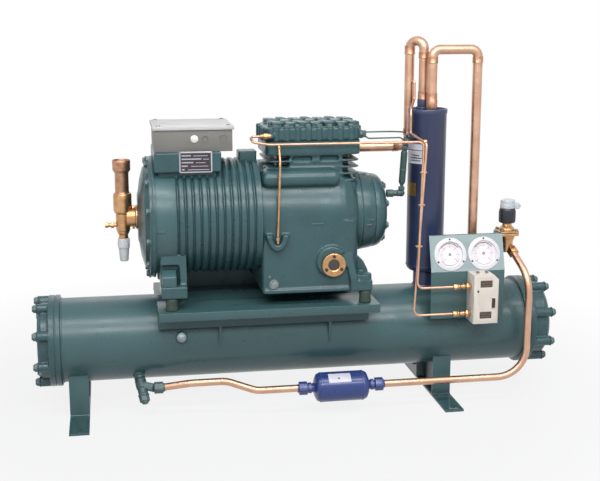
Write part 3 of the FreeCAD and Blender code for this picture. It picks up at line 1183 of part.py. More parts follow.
def gauges():
    """Two pressure gauges: case with dial and pin, needle, and glass."""
    out = panel_normal()
    y, z = face_point(S.gauge_up)
    wall = S.gauge_wall
    window = S.gauge_window
    dial = -S.dial_depth
    back = -S.gauge_cup_depth
    profile = [(0, back), (S.gauge_cup_radius, back), (S.gauge_cup_radius, 0), (S.gauge_flange_radius, 0),
               (S.gauge_flange_radius, S.gauge_flange * 0.6), (S.gauge_flange_radius - wall, S.gauge_flange),
               (window, S.gauge_flange), (window, dial), (S.needle_pin, dial),
               (S.needle_pin, dial + S.dial_thick + S.needle_thick), (0, dial + S.dial_thick + S.needle_thick)]
    cases = [turned(f"gauge_case_{i}", profile, (x, y, z), out)
             for i, x in enumerate((S.left_gauge_x, S.right_gauge_x))]
    finish(join("gauge_case_pair", cases), "gauge_cases")
    glass_y, glass_z = face_point(S.gauge_up, S.gauge_flange - S.gauge_glass)
    glasses = [rod(f"gauge_glass_{i}", window, S.gauge_glass, (x, glass_y, glass_z), out)
               for i, x in enumerate((S.left_gauge_x, S.right_gauge_x))]
    finish(join("gauge_glass_pair", glasses), "gauge_glasses")
    needle_y, needle_z = face_point(S.gauge_up, dial + S.dial_thick / 3)
    half = S.needle_width / 2
    hub = S.needle_hub
    outline = [(half, -S.needle_tail), (half * 0.4, S.needle_length), (-half * 0.4, S.needle_length),
               (-half, -S.needle_tail)]
    face_up = Rotation(Vector(1, 0, 0), 90 - value(S.panel_slope))
    for name, x, angle in (("left", S.left_gauge_x, -90), ("right", S.right_gauge_x, 0)):
        turn = face_up.multiply(Rotation(Vector(0, 0, 1), angle))
        blade = extruded(f"{name}_blade", outline, S.needle_thick, (x, needle_y, needle_z), turn)
        hub_disc = rod(f"{name}_hub", hub, S.needle_thick * 1.5, (x, needle_y, needle_z), out)
        hole = rod(f"{name}_needle_hole", S.needle_pin + S.running_gap, S.needle_thick * 4,
                   (x, needle_y, needle_z), out)
        finish(carve(f"{name}_needle", join(f"{name}_needle_solid", [blade, hub_disc]), [hole]),
               f"gauge_needle_{name}")


def pressure_switch():
    """The dual pressure switch: housing with windows, reset button and two setting spindles."""
    left = S.switch_left
    right = left + S.switch_width
    low = S.switch_low
    top = low + S.switch_height
    back = -S.panel_front
    front = back - S.switch_depth
    wall = S.switch_wall
    cut = S.switch_chamfer
    outline = [(left, low), (right, low), (right, top - cut), (right - cut, top), (left, top)]
    shell = extruded("switch_outer", outline, S.switch_depth, (0, back, 0), Rotation(Vector(1, 0, 0), 90))
    inner = [(left + wall, low + wall), (right - wall, low + wall), (right - wall, top - cut),
             (right - cut, top - wall), (left + wall, top - wall)]
    hollow = extruded("switch_inner", inner, S.switch_depth - wall * 2, (0, back - wall, 0),
                      Rotation(Vector(1, 0, 0), 90))
    cuts = [hollow]
    window_x = left + S.window_inset
    for name, z in (("low", low + S.window_margin), ("high", top - S.window_margin - S.window_height)):
        cuts.append(block(f"window_{name}", (window_x, front, z),
                          (window_x + S.window_width, front + wall * 0.6, z + S.window_height)))
    gap = S.pipe_gap
    cuts.append(block("button_hole", (S.button_x - S.button_width / 2 - gap, front,
                                      S.button_z - S.button_height / 2 - gap),
                      (S.button_x + S.button_width / 2 + gap, front + wall, S.button_z + S.button_height / 2 + gap)))
    for name, x in (("low", S.low_spindle_x), ("high", S.high_spindle_x)):
        cuts.append(rod(f"spindle_hole_{name}", S.spindle_shank + S.running_gap, wall * 2,
                        (x, -S.switch_spindle_y, top - wall * 1.5)))
    finish(carve("switch", shell, cuts), "switch_housing")
    rise = S.button_rise
    button = block("button", (S.button_x - S.button_width / 2, front - rise, S.button_z - S.button_height / 2),
                   (S.button_x + S.button_width / 2, front + S.button_depth, S.button_z + S.button_height / 2))
    finish(button, "switch_reset_button")
    for name, x in (("low", S.low_spindle_x), ("high", S.high_spindle_x)):
        at = (x, -S.switch_spindle_y, top + gap)
        head = rod(f"{name}_spindle_head", S.spindle_head, S.spindle_head_height, at)
        shank = rod(f"{name}_spindle_shank", S.spindle_shank, S.spindle_shank_length, at, "-z")
        slot_low = top + gap + S.spindle_head_height - S.slot_depth
        slot = block(f"{name}_spindle_slot", (x - S.spindle_head, -S.switch_spindle_y - S.slot_width / 2, slot_low),
                     (x + S.spindle_head, -S.switch_spindle_y + S.slot_width / 2, slot_low + S.slot_depth))
        finish(carve(f"{name}_spindle", join(f"{name}_spindle_solid", [head, shank]), [slot]),
               f"switch_spindle_{name}")


def gauge_lines():
    """The thin copper tubes: front run, tapping tubes and the pair down to the pressure switch."""
    tube = S.thin_tube
    bend = S.thin_bend
    front = -S.front_tube_y
    z = S.front_tube_z
    clamp_x = S.riser_x + S.clamp_reach
    upper_x = S.riser_x - S.upper_corner_back
    lower_x = S.riser_x - S.lower_corner_back
    start_x = deck_left + S.head_corner
    side_y = -S.deck_half_depth - tube * 2.2
    left = deck_left - S.wrap_reach
    upper = [(start_x, side_y, z + S.wrap_rise), (left, side_y, z + S.wrap_rise),
             (left + S.wrap_reach, front, z), (clamp_x, front, z),
             (upper_x, -S.line_y, S.upper_line_z), (S.line_nut_start, -S.line_y, S.upper_line_z)]
    tap_y = -S.tap_reach
    lower = [(S.riser_x, S.riser_y - S.riser_pipe, S.tap_z), (S.riser_x, tap_y, S.tap_z),
             (S.riser_x, tap_y, S.tap_low), (clamp_x + tube * 2, front - tube * 2.2, z - S.wrap_rise),
             (lower_x, -S.line_y, S.lower_line_z), (S.line_nut_start, -S.line_y, S.lower_line_z)]
    fitting_x = deck_right - S.head_wall / 2 + S.head_column * 2
    fitting_z = head_base + S.head_height / 2
    fitting_y = -S.head_fitting_y
    slim = tube * 0.6
    tee = [(fitting_x, fitting_y, fitting_z + slim * 2),
           (fitting_x + S.wrap_reach * 4, fitting_y, fitting_z + slim * 2),
           (S.riser_x - tube, tap_y, S.tap_low + S.tap_low_bend)]
    vent = [(fitting_x, fitting_y, fitting_z - slim * 2),
            (fitting_x + S.wrap_reach * 3, fitting_y, fitting_z - slim * 2),
            (strainer_top_x - S.oil_tube * 1.3, -S.oil_y, S.vent_end_z)]
    lug_z = crank_z - S.lug_drop
    lug_y = -case_half_depth - S.lug_depth / 2
    down = [(S.tee_x, front - tube * 0.6, z - tube * 1.2),
            (S.tee_x, -gallery_reach - tube * 2.4, z - S.lug_drop),
            (S.lug_x, lug_y, lug_z + S.line_nut + S.pipe_gap)]
    runs = [swept(upper, [S.wrap_bend, S.front_bend, bend, bend], tube),
            swept(lower, [S.tap_bend, S.tap_low_bend, bend, bend], tube), swept(tee, [S.tee_bend], slim),
            swept(vent, [S.vent_bend], slim), swept(down, [S.drop_tube_bend], tube)]
    thing = doc.addObject("Part::Feature", "thin_tubes")
    thing.Shape = Part.makeCompound(runs)
    thing.Placement = Placement()
    finish(thing, "gauge_lines")


def flare_fittings():
    """Brass flare nuts where the thin tubes meet the switch and the head."""
    pieces = []
    end = S.switch_left
    start = S.line_nut_start
    for name, z in (("upper", S.upper_line_z), ("lower", S.lower_line_z)):
        nut = hexagon(f"{name}_line_nut", S.line_nut * 2, S.line_nut_length * 0.6, (start, -S.line_y, z), "x")
        stem = rod(f"{name}_line_stem", S.line_nut * 0.6, end - start, (start, -S.line_y, z), "x")
        back = hexagon(f"{name}_line_back", S.line_nut * 2.4, S.line_nut_length * 0.4,
                       (end - S.line_nut_length * 0.4, -S.line_y, z), "x")
        pieces.append(join(f"{name}_line_fitting", [nut, stem, back]))
    lug_z = crank_z - S.lug_drop
    cup = S.lug_radius - S.lug_wall
    lug_nut = hexagon("lug_nut", S.line_nut * 1.6, cup + S.line_nut - 1.5,
                      (S.lug_x, -case_half_depth - S.lug_depth / 2, lug_z - cup + 1.5))
    pieces.append(lug_nut)
    finish(join("fittings", pieces), "flare_fittings")


def solenoid_valve():
    """The liquid-line solenoid valve: brass body and plunger tube, coil, plunger."""
    x, y = S.solenoid_x, -S.solenoid_y
    low = S.solenoid_body_low
    flange_low = S.solenoid_flange_low
    flange_top = flange_low + S.solenoid_flange_thick
    half = S.solenoid_flange / 2
    body = taper("solenoid_body", S.solenoid_body_radius * 0.8, S.solenoid_body_radius,
                 flange_low - low, (x, y, low))
    plate = rounded_slab("solenoid_plate", (x - half, y - half, flange_low), (x + half, y + half, flange_top),
                         S.solenoid_flange / 6)
    bonnet = taper("solenoid_bonnet", S.bonnet_radius, S.tube_outer + S.bonnet_step, S.bonnet_height,
                   (x, y, flange_top))
    coil_low = flange_top + S.bonnet_height
    tube = rod("plunger_tube", S.tube_outer, S.coil_height + S.coil_gap, (x, y, coil_low))
    spigot_end = S.panel_right
    spigot = rod("solenoid_foot", S.solenoid_spigot, x - spigot_end,
                 (spigot_end, y, low + S.solenoid_spigot * 2),
                 "x")
    port = rod("liquid_port", S.liquid_port_boss, S.liquid_port_reach, (x, y, low + S.liquid_port_rise), "y")
    cast = join("solenoid_cast", [body, plate, bonnet, tube, spigot, port])
    hole = rod("liquid_port_hole", S.liquid_port_radius, S.liquid_port_depth,
               (x, y + S.liquid_port_reach - S.liquid_port_depth, low + S.liquid_port_rise), "y")
    bore = S.tube_outer - S.plunger_wall
    plunger_low = flange_top + S.bonnet_height / 2
    chamber = rod("plunger_chamber", bore, S.coil_height * 0.85 + S.bonnet_height / 2, (x, y, plunger_low))
    finish(carve("solenoid", cast, [hole, chamber]), "solenoid_valve_body")
    inner = S.tube_outer + S.coil_gap
    cap = S.coil_height + S.coil_gap * 2
    profile = [(inner, 0), (S.coil_radius, 0), (S.coil_radius, S.coil_height * 0.72),
               (S.coil_radius - S.coil_step, S.coil_height * 0.78),
               (S.coil_radius - S.coil_step, cap + S.coil_cap), (0, cap + S.coil_cap), (0, cap), (inner, cap)]
    coil = turned("coil_shell", profile, (x, y, coil_low))
    tab = block("coil_tab", (x + S.coil_radius / 2, y - S.tube_outer, coil_low + S.coil_height * 0.75),
                (x + S.coil_radius * 1.4, y + S.tube_outer, coil_low + S.coil_height))
    finish(join("coil", [coil, tab]), "solenoid_coil")
    finish(rod("plunger", bore - S.plunger_gap, S.plunger_length, (x, y, plunger_low)), "solenoid_plunger")


def liquid_line():
    """The liquid pipe from the solenoid down and along to the drier, and on to the stop valve."""
    pipe_radius = S.liquid_pipe
    y = -S.liquid_y
    z = S.liquid_z
    body_bottom = S.solenoid_body_low
    thing = doc.addObject("Part::Feature", "liquid_pipes")
    right_end = S.drier_right + S.drier_reach
    start = (S.solenoid_x + S.liquid_out_x, -S.solenoid_y - S.liquid_out_y, body_bottom + S.liquid_out_z)
    right = swept([start, (S.liquid_x, y, S.solenoid_body_low - S.knee_drop), (S.liquid_x, y, z),
                   (right_end, y, z)], [S.knee_bend, S.liquid_bend], pipe_radius)
    left_start = S.drier_left - S.drier_reach
    nut_end = -S.valve_nut_x + S.nut_length
    left = swept([(left_start, y, z), (-S.rise_x * 0.3, y, z), (-S.rise_x * 0.7, -S.rise_y, S.rise_z),
                  (-S.rise_x * 1.1, -S.rise_y, S.rise_z),
                  (nut_end + S.nut_length / 2, -S.valve_nut_y, S.valve_nut_z),
                  (nut_end, -S.valve_nut_y, S.valve_nut_z)], [S.run_bend, S.run_bend, S.run_bend, S.nut_bend],
                 pipe_radius)
    thing.Shape = Part.makeCompound([right, left])
    thing.Placement = Placement()
    finish(thing, "liquid_line")


def hex_solid(flats, length, at, direction):
    """A hexagonal solid as a plain shape."""
    radius = value(flats) / math.sqrt(3)
    turn = Rotation(Vector(0, 0, 1), direction)
    base = Vector(*[value(c) for c in at])
    corners = [base + turn.multVec(Vector(radius * math.cos(math.pi / 3 * k),
                                          radius * math.sin(math.pi / 3 * k), 0))
               for k in range(7)]
    return Part.Face(Part.makePolygon(corners)).extrude(direction * value(length))


def filter_drier():
    """The filter drier shell with its necks and flare nuts."""
    y = -S.liquid_y
    z = S.liquid_z
    length = S.drier_right - S.drier_left
    shoulder = S.drier_shoulder
    neck = S.drier_neck_radius
    reach = S.drier_reach
    profile = [(0, -reach), (neck, -reach), (neck, -shoulder / 2), (S.drier_radius - shoulder, 0),
               (S.drier_radius, shoulder), (S.drier_radius, length - shoulder),
               (S.drier_radius - shoulder, length),
               (neck, length + shoulder / 2), (neck, length + reach), (0, length + reach)]
    shell = turned("drier_shell", profile, (S.drier_left, y, z), "x")
    nuts = [hexagon("drier_nut_left", S.nut_flats, S.nut_length, (S.drier_left - reach, y, z), "x"),
            hexagon("drier_nut_right", S.nut_flats, S.nut_length,
                    (S.drier_right + reach - S.nut_length, y, z), "x")]
    finish(join("drier", [shell] + nuts), "filter_drier")


def stop_valve():
    """The liquid stop valve slanting from the shell's underside, and its cap."""
    lean = (sine(S.stop_lean), -cosine(S.stop_angle) * cosine(S.stop_lean),
            -sine(S.stop_angle) * cosine(S.stop_lean))
    down = Vector(*[value(c) for c in lean])
    start = S.stop_start

    def along(reach):
        return (lean[0] * (reach - start) - S.stop_x, lean[1] * reach, lean[2] * reach + shell_z)

    base = along(start)
    barrel = rod("stop_barrel", S.stop_radius, S.stop_length, base, down)
    reach = start + S.stop_length * 0.55
    hub = along(reach)
    nut_at = Vector(value(-S.valve_nut_x), value(-S.valve_nut_y), value(S.valve_nut_z))
    aim = nut_at - Vector(*[value(c) for c in hub])
    span = aim.Length
    aim.normalize()
    branch = doc.addObject("Part::Feature", "stop_branch")
    centre = Vector(*[value(c) for c in hub])
    arm = Part.makeCylinder(value(S.liquid_pipe + 1.5), span, centre, aim)
    nut = hex_solid(S.nut_flats * 0.9, S.nut_length, (-S.valve_nut_x, -S.valve_nut_y, S.valve_nut_z),
                    Vector(1, 0, 0))
    branch.Shape = arm.fuse(nut)
    branch.Placement = Placement()
    seated = carve("stop_seated", join("stop_cast", [barrel, branch]), [shell_core("stop_shell")])
    finish(seated, "liquid_valve")
    end = start + S.stop_length + S.pipe_gap
    finish(hexagon("stop_cap", S.stop_cap_flats, S.stop_cap_length, along(end), down), "liquid_valve_cap")


def build():
    """Makes every sub-part."""
    condenser_shell()
    tube_sheets()
    tube_bundle()
    left_water_cover()
    right_water_cover()
    cover_bolts()
    foot("left", -S.foot_spacing / 2)
    foot("right", S.foot_spacing / 2)
    platform()
    platform_gussets()
    rubber_buffers()
    crankcase()
    motor_housing()
    motor_end_cover()
    end_cover_bolts()
    bearing_cover()
    oil_pump_cover()
    pump_cover_bolts()
    valve_plate()
    cylinder_head()
    head_bolts()
    stator()
    rotor()
    crankshaft()
    main_bearings()
    terminal_box()
    knockout_plugs()
    sight_glass()
    pipe_plugs()
    suction_valve()
    discharge_pipe()
    separator_outlet_pipe()
    oil_separator()
    separator_float()
    oil_return_line()
    gauge_panel()
    gauges()
    pressure_switch()
    gauge_lines()
    flare_fittings()
    solenoid_valve()
    liquid_line()
    filter_drier()
    stop_valve()
    doc.recompute()


def check_and_write():
    """Stops on any failed object, then writes one file for each sub-part."""
    for thing in doc.Objects:
        if {"Invalid", "Error"} & set(thing.State):
            raise RuntimeError(f"{thing.Name} failed: {thing.State}")
    os.makedirs("parts", exist_ok=True)
    for thing in finished:
        shape = thing.Shape
        if shape.isNull() or not shape.isValid():
            raise RuntimeError(f"{thing.Label} has no valid shape")
    for thing in finished:
        thing.Shape.exportStep(f"parts/{thing.Label}.step")
        print(f"{thing.Label}: {len(thing.Shape.Solids)} solids, {thing.Shape.Volume / 1000:.1f} cm3")


build()
check_and_write()
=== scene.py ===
"""Looks of a water-cooled condensing unit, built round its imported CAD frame.

Pieces are made in millimetres and scaled to metres when they are delivered. X runs along the condenser shell,
Y is depth away from the viewer and Z is up, as in the CAD. The origin is on the floor between the feet.
"""
from __future__ import annotations

import json
import logging
import math
from collections.abc import Iterable, Sequence
from dataclasses import dataclass
from enum import Enum

import bmesh
import bpy
from mathutils import Matrix, Vector

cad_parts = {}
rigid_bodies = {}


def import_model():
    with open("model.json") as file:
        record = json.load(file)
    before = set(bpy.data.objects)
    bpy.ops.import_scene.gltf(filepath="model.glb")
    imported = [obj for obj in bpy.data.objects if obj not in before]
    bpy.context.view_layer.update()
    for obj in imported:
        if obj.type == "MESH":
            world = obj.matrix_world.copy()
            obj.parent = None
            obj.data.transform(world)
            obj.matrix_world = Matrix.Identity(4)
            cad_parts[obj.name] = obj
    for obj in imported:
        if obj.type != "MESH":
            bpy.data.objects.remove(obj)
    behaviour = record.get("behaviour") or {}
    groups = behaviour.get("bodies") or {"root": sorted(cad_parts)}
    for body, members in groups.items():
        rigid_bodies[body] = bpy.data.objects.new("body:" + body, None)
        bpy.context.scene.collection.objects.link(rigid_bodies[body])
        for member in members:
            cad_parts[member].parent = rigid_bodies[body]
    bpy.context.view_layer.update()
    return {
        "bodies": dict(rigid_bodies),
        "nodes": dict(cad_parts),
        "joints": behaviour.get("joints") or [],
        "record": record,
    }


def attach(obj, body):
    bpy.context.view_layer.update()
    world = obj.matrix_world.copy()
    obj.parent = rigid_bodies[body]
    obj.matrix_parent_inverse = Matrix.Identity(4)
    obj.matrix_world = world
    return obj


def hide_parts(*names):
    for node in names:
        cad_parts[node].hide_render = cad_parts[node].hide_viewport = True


LOG = logging.getLogger("condensing_unit")
MM = 0.001
Point = Sequence[float]
Outline = Sequence[tuple[float, float]]
Vert, Edge = bmesh.types.BMVert, bmesh.types.BMEdge
Tree, Socket = bpy.types.NodeTree, bpy.types.NodeSocket
Thing = bpy.types.Object
Nodes = dict[str, Thing]
FRONT, BACK = (0.0, -1.0, 0.0), (0.0, 1.0, 0.0)
UP, DOWN = (0.0, 0.0, 1.0), (0.0, 0.0, -1.0)
RIGHT, LEFT = (1.0, 0.0, 0.0), (-1.0, 0.0, 0.0)
WHITE = (1.0, 1.0, 1.0, 1.0)
# Radians between the rings of a bent tube, and segments of a rounded corner.
BEND_STEP = 0.16
CORNER_SEGMENTS = 7


def linear(colour: str) -> tuple[float, float, float, float]:
    """Turns an sRGB hex colour to linear red, green, blue and alpha."""
    parts = [int(colour[i:i + 2], 16) / 255 for i in (1, 3, 5)]
    red, green, blue = (c / 12.92 if c <= 0.04045 else ((c + 0.055) / 1.055) ** 2.4 for c in parts)
    return red, green, blue, 1.0


def add(tree: Tree, kind: str, inputs: dict | None = None, **settings: object) -> bpy.types.Node:
    """Adds a shader node; inputs maps a socket's name or number to a value or to the output that feeds it."""
    node = tree.nodes.new(f"ShaderNode{kind}")
    for name, setting in settings.items():
        setattr(node, name, setting)
    for socket, given in (inputs or {}).items():
        if isinstance(given, Socket):
            tree.links.new(given, node.inputs[socket])
        else:
            node.inputs[socket].default_value = given
    return node


@dataclass(frozen=True)
class Finish:
    """A surface: what it is, how it was made, and the record's slot that it belongs to."""

    name: str
    slot: str
    colour: str
    drift: str
    roughness: float
    patch_mm: float = 60.0
    spread: float = 0.06
    metallic: float = 0.0
    ior: float = 1.5
    grain_mm: float = 1.2
    depth_mm: float = 0.03
    lumps_mm: float = 0.0
    coat: float = 0.0
    wear: str = ""
    # Colour that hollows and creases darken to: grime and painted shade together.
    grime_and_shade: str = ""
    stretch: tuple[float, float, float] = (1.0, 1.0, 1.0)
    alpha: float = 1.0
    see_through: float = 0.0

    # Spans of noise or edge sharpness over which a change comes in, and how strong the wear and the grime with painted
    # shade in hollows get.
    PATCH_SPAN, GLOSS_SPAN = (0.35, 0.65), (0.3, 0.7)
    GRIME_SPAN, GRIME_SHARE = (0.5, 0.42), 0.6
    WEAR_SPAN, WEAR_SHARE = (0.53, 0.6), 0.45

    def material(self) -> bpy.types.Material:
        """The node material, made once."""
        made = bpy.data.materials.get(self.name)
        if made:
            return made
        made = bpy.data.materials.new(self.name)
        made.use_nodes = True
        tree = made.node_tree
        shader = tree.nodes["Principled BSDF"]
        place = add(tree, "TexCoord").outputs["Object"]
        grain_place = add(tree, "Mapping", {"Vector": place, "Scale": self.stretch}).outputs[0]
        patches = self.noise(tree, place, self.patch_mm, 4.0, roughness=0.6)
        share = self.spread_over(tree, patches, self.PATCH_SPAN)
        colour = self.mixed(tree, share, linear(self.colour), linear(self.drift))
        edges = add(tree, "NewGeometry").outputs["Pointiness"]
        # The first tint darkens hollows and creases where pointiness is low, as grime and painted shade; the second
        # lightens worn edges.
        for tint, span, strength in ((self.grime_and_shade, self.GRIME_SPAN, self.GRIME_SHARE),
                                     (self.wear, self.WEAR_SPAN, self.WEAR_SHARE)):
            if tint:
                near = self.spread_over(tree, edges, span, (0.0, strength))
                colour = self.mixed(tree, near, colour, linear(tint))
        grain = self.noise(tree, grain_place, self.grain_mm, 3.0)
        gloss = self.noise(tree, place, self.patch_mm, 5.0, finer=2.4)
        rough = self.spread_over(tree, gloss, self.GLOSS_SPAN,
                                 (max(self.roughness - self.spread, 0.02), self.roughness + self.spread))
        bump = add(tree, "Bump", {"Height": grain, "Distance": self.depth_mm * MM, "Strength": 1.0})
        if self.lumps_mm:
            lumps = self.noise(tree, place, self.lumps_mm, 2.0)
            bump = add(tree, "Bump", {"Height": lumps, "Distance": self.depth_mm * 6 * MM, "Strength": 0.6,
                                      "Normal": bump.outputs[0]})
        for socket, output in (("Base Color", colour), ("Roughness", rough), ("Normal", bump.outputs[0])):
            tree.links.new(output, shader.inputs[socket])
        plain = {"Metallic": self.metallic, "Coat Weight": self.coat, "Coat Roughness": 0.12, "Alpha": self.alpha,
                 "Transmission Weight": self.see_through}
        if not self.metallic:
            plain["IOR"] = self.ior
        for socket, value in plain.items():
            shader.inputs[socket].default_value = value
        return made

    @staticmethod
    def noise(tree: Tree, place: Socket, size_mm: float, detail: float, roughness: float = 0.5,
              finer: float = 1.0) -> Socket:
        """Adds noise of a size, or that many times finer."""
        return add(tree, "TexNoise", {"Vector": place, "Scale": finer / (size_mm * MM), "Detail": detail,
                                      "Roughness": roughness}).outputs["Fac"]

    @staticmethod
    def spread_over(tree: Tree, value: Socket, span: Point, onto: Point = (0.0, 1.0)) -> Socket:
        """Maps a span of a value onto another span."""
        return add(tree, "MapRange", {"Value": value, "From Min": span[0], "From Max": span[1],
                                      "To Min": onto[0], "To Max": onto[1]}).outputs[0]

    @staticmethod
    def mixed(tree: Tree, share: Socket, colour: object, other: object) -> Socket:
        """Mixes a share of another colour into one."""
        return add(tree, "Mix", {"Factor": share, "A": colour, "B": other}, data_type="RGBA").outputs["Result"]


class Surface(Enum):
    """The unit's finishes."""

    # Semi-gloss machinery enamel sprayed on rolled steel: broad soft highlights and a fine orange peel.
    SHELL_ENAMEL = Finish("enamel_on_rolled_steel", "teal_paint", "#2f4d51", "#35565b", 0.3, 180, 0.05,
                          grain_mm=2.5, depth_mm=0.02, wear="#56787a", grime_and_shade="#1d3134")
    # The same enamel over sand-cast iron: grain and shallow lumps of the mould show through.
    CAST_ENAMEL = Finish("enamel_on_cast_iron", "casting_paint", "#2f4f53", "#37595e", 0.3, 90, 0.05,
                         grain_mm=1.6, depth_mm=0.04, lumps_mm=9, wear="#5d8082", grime_and_shade="#1b2f31")
    # Enamel brushed over hexagon heads, thin and lighter on the corners.
    BOLT_ENAMEL = Finish("enamel_on_bolts", "bolt_paint", "#395759", "#4b6a6c", 0.42, 25, 0.08, depth_mm=0.02,
                         wear="#8fa5a6", grime_and_shade="#1d3032")
    # Moulded nitrile rubber with paint mist on it: dull, slightly green.
    BUFFER_RUBBER = Finish("moulded_rubber", "buffer_rubber", "#3f4b3c", "#334540", 0.7, 18,
                           grain_mm=0.9, depth_mm=0.05)
    # Powder coat on folded sheet steel: warm grey with a fine texture.
    BOX_POWDER = Finish("grey_powder_coat", "box_grey", "#686661", "#72706c", 0.5, 120, 0.05, grain_mm=1.1,
                        depth_mm=0.04, wear="#94918c", grime_and_shade="#4c4a46")
    LID_POWDER = Finish("pale_powder_coat", "lid_grey", "#b9b6b6", "#c4c2c4", 0.48, 120, 0.05, grain_mm=1.1,
                        depth_mm=0.04, wear="#d5d3d3", grime_and_shade="#807c78")
    # Hard-drawn copper tube, handled and slightly tarnished, with dull pink patches.
    COPPER_TUBE = Finish("drawn_copper", "copper", "#d2ab92", "#c19780", 0.38, 45, 0.08, metallic=1.0,
                         grain_mm=1.5, depth_mm=0.012, stretch=(1.0, 1.0, 0.2))
    # Copper round a brazed joint: oxidised brown by the torch.
    BRAZED_COPPER = Finish("heat_stained_copper", "copper", "#c1967c", "#a37a62", 0.42, 12, 0.1,
                           metallic=1.0, grain_mm=1.0)
    # Turned and forged brass, unlacquered.
    BRASS = Finish("turned_brass", "brass", "#cba27a", "#b68a62", 0.33, 22, 0.08, metallic=1.0,
                   grain_mm=0.8, depth_mm=0.015, grime_and_shade="#6d4a26")
    # Zinc plate gone dull on plugs and screws.
    ZINC_PLATE = Finish("dull_zinc_plate", "plug_steel", "#8f979a", "#747d80", 0.42, 14, 0.1, metallic=1.0,
                        grain_mm=0.8, depth_mm=0.02)
    MACHINED = Finish("ground_steel", "machined_steel", "#a7a8a8", "#8f9091", 0.3, 40, metallic=1.0,
                      grain_mm=0.8, depth_mm=0.01, stretch=(0.1, 1.0, 1.0))
    BRONZE = Finish("bearing_bronze", "bearing_bronze", "#b08652", "#96703f", 0.36, 20, metallic=1.0)
    LAMINATION = Finish("electrical_steel", "lamination", "#5d5a57", "#4a4744", 0.5, 30, 0.08, metallic=0.8,
                        grain_mm=1.0, depth_mm=0.05, stretch=(3.0, 0.2, 0.2))
    # Polyethylene cap, white with scuffs.
    WHITE_CAP = Finish("white_polyethylene", "cap_plastic", "#e6e8e9", "#dadddf", 0.4, 20)
    PLUG_PLASTIC = Finish("pale_moulded_plug", "plug_plastic", "#ecebe6", "#e0dfda", 0.45, 15)
    GREY_PLUG = Finish("grey_moulded_plug", "box_grey", "#75736f", "#6b6965", 0.5, 15)
    # Gloss navy enamel on the separator's steel tank.
    NAVY_ENAMEL = Finish("navy_enamel", "separator_paint", "#2c3757", "#344164", 0.36, 130,
                         grain_mm=2.2, depth_mm=0.02, coat=0.1, wear="#4d5676", grime_and_shade="#1a2034")
    # Royal blue enamel on the drier's drawn shell.
    BLUE_ENAMEL = Finish("royal_blue_enamel", "drier_blue", "#263a78", "#2c4386", 0.32,
                         grain_mm=2.0, depth_mm=0.02, coat=0.3, wear="#5660a6", grime_and_shade="#1b2250")
    OIL_LINE = Finish("enamel_on_fittings", "oil_line_paint", "#28403f", "#33504f", 0.42, 30, 0.08,
                      wear="#6d8786", grime_and_shade="#172524")
    VALVE_ENAMEL = Finish("enamel_on_valve", "valve_dark", "#2f4a4d", "#3c5a5c", 0.4, 22, 0.08,
                          wear="#8ea3a2", grime_and_shade="#182a2c")
    # Enamel of the folded gauge panel, and the paler coat on its face behind the gauges.
    PANEL_ENAMEL = Finish("enamel_on_sheet", "panel_paint", "#2f4d4f", "#365759", 0.42, 110, 0.05,
                          grain_mm=2.4, depth_mm=0.015, wear="#6f8c8d", grime_and_shade="#1e3335")
    PLATE_ENAMEL = Finish("pale_enamel_on_sheet", "panel_paint", "#87969a", "#92a1a5", 0.42, 90, 0.05,
                          grain_mm=2.4, depth_mm=0.015, wear="#a9bcbd", grime_and_shade="#5c7375")
    GAUGE_WHITE = Finish("white_gauge_enamel", "gauge_white", "#e9e8ec", "#dfdee3", 0.35, 40, 0.05, coat=0.2)
    DIAL_CARD = Finish("printed_dial_card", "gauge_white", "#ece4ea", "#e6dde4", 0.6, 30, 0.04)
    DIAL_INK = Finish("dial_ink", "needle_black", "#4f4346", "#3f3538", 0.6, 10)
    NEEDLE = Finish("black_needle_paint", "needle_black", "#2c2526", "#241f20", 0.45, 10)
    CLEAR_GLASS = Finish("clear_gauge_glass", "gauge_glass", "#ffffff", "#fbfdff", 0.03, spread=0.01, ior=1.45,
                         depth_mm=0.001, see_through=1.0, alpha=0.35)
    # The sight glass shows dark compressor oil behind it.
    OIL_GLASS = Finish("glass_over_oil", "sight_glass", "#2b1a12", "#1c110c", 0.08, 12, 0.02, coat=1.0,
                       depth_mm=0.002)
    CREAM_PLASTIC = Finish("cream_polycarbonate", "switch_cream", "#e9e0d6", "#e2d8cd", 0.38, 50, 0.05,
                           grain_mm=1.0, depth_mm=0.02, grime_and_shade="#b5a898")
    DARK_WINDOW = Finish("dark_scale_window", "button_dark", "#4a3d36", "#3c312c", 0.2, 12, 0.04, coat=0.6)
    DARK_KNOB = Finish("dark_moulded_button", "button_dark", "#2e2825", "#3a322e", 0.4, 10)
    COIL_BLACK = Finish("black_coil_resin", "coil_black", "#1d2027", "#262a33", 0.42, 20, grain_mm=1.0,
                        depth_mm=0.04)
    CLEAR_CAP = Finish("milky_plug_plastic", "cap_plastic", "#d3d7dc", "#c4c9cf", 0.3, 15, 0.05)
    BOARD = Finish("phenolic_board", "board_plastic", "#3a2f28", "#2e2520", 0.5, 20)
    PLATE_SILVER = Finish("etched_aluminium", "lid_grey", "#b9bcc2", "#aeb1b8", 0.35, 30, 0.05, metallic=0.7)
    PLATE_DARK = Finish("etched_dark_field", "needle_black", "#3b2f36", "#2f262c", 0.45, 12)
    LABEL_PAPER = Finish("glossy_label", "gauge_white", "#dcdbe8", "#d2d1de", 0.35, 20)
    LABEL_GOLD = Finish("gold_foil_label", "brass", "#a5854e", "#977742", 0.4, 12, metallic=0.6)


def frame_at(at: Point, direction: Point = UP) -> Matrix:
    """Matrix that puts local Z along a direction at a point."""
    turn = Vector(UP).rotation_difference(Vector(direction).normalized())
    return Matrix.Translation(Vector(at)) @ turn.to_matrix().to_4x4()


def placed(name: str, data: bpy.types.ID) -> Thing:
    """Puts an object with some data in the scene."""
    holder = bpy.data.objects.new(name, data)
    bpy.context.scene.collection.objects.link(holder)
    return holder


def evaluated(holder: Thing) -> bpy.types.Mesh:
    """Mesh of an object with its modifiers applied."""
    return bpy.data.meshes.new_from_object(holder.evaluated_get(bpy.context.evaluated_depsgraph_get()))


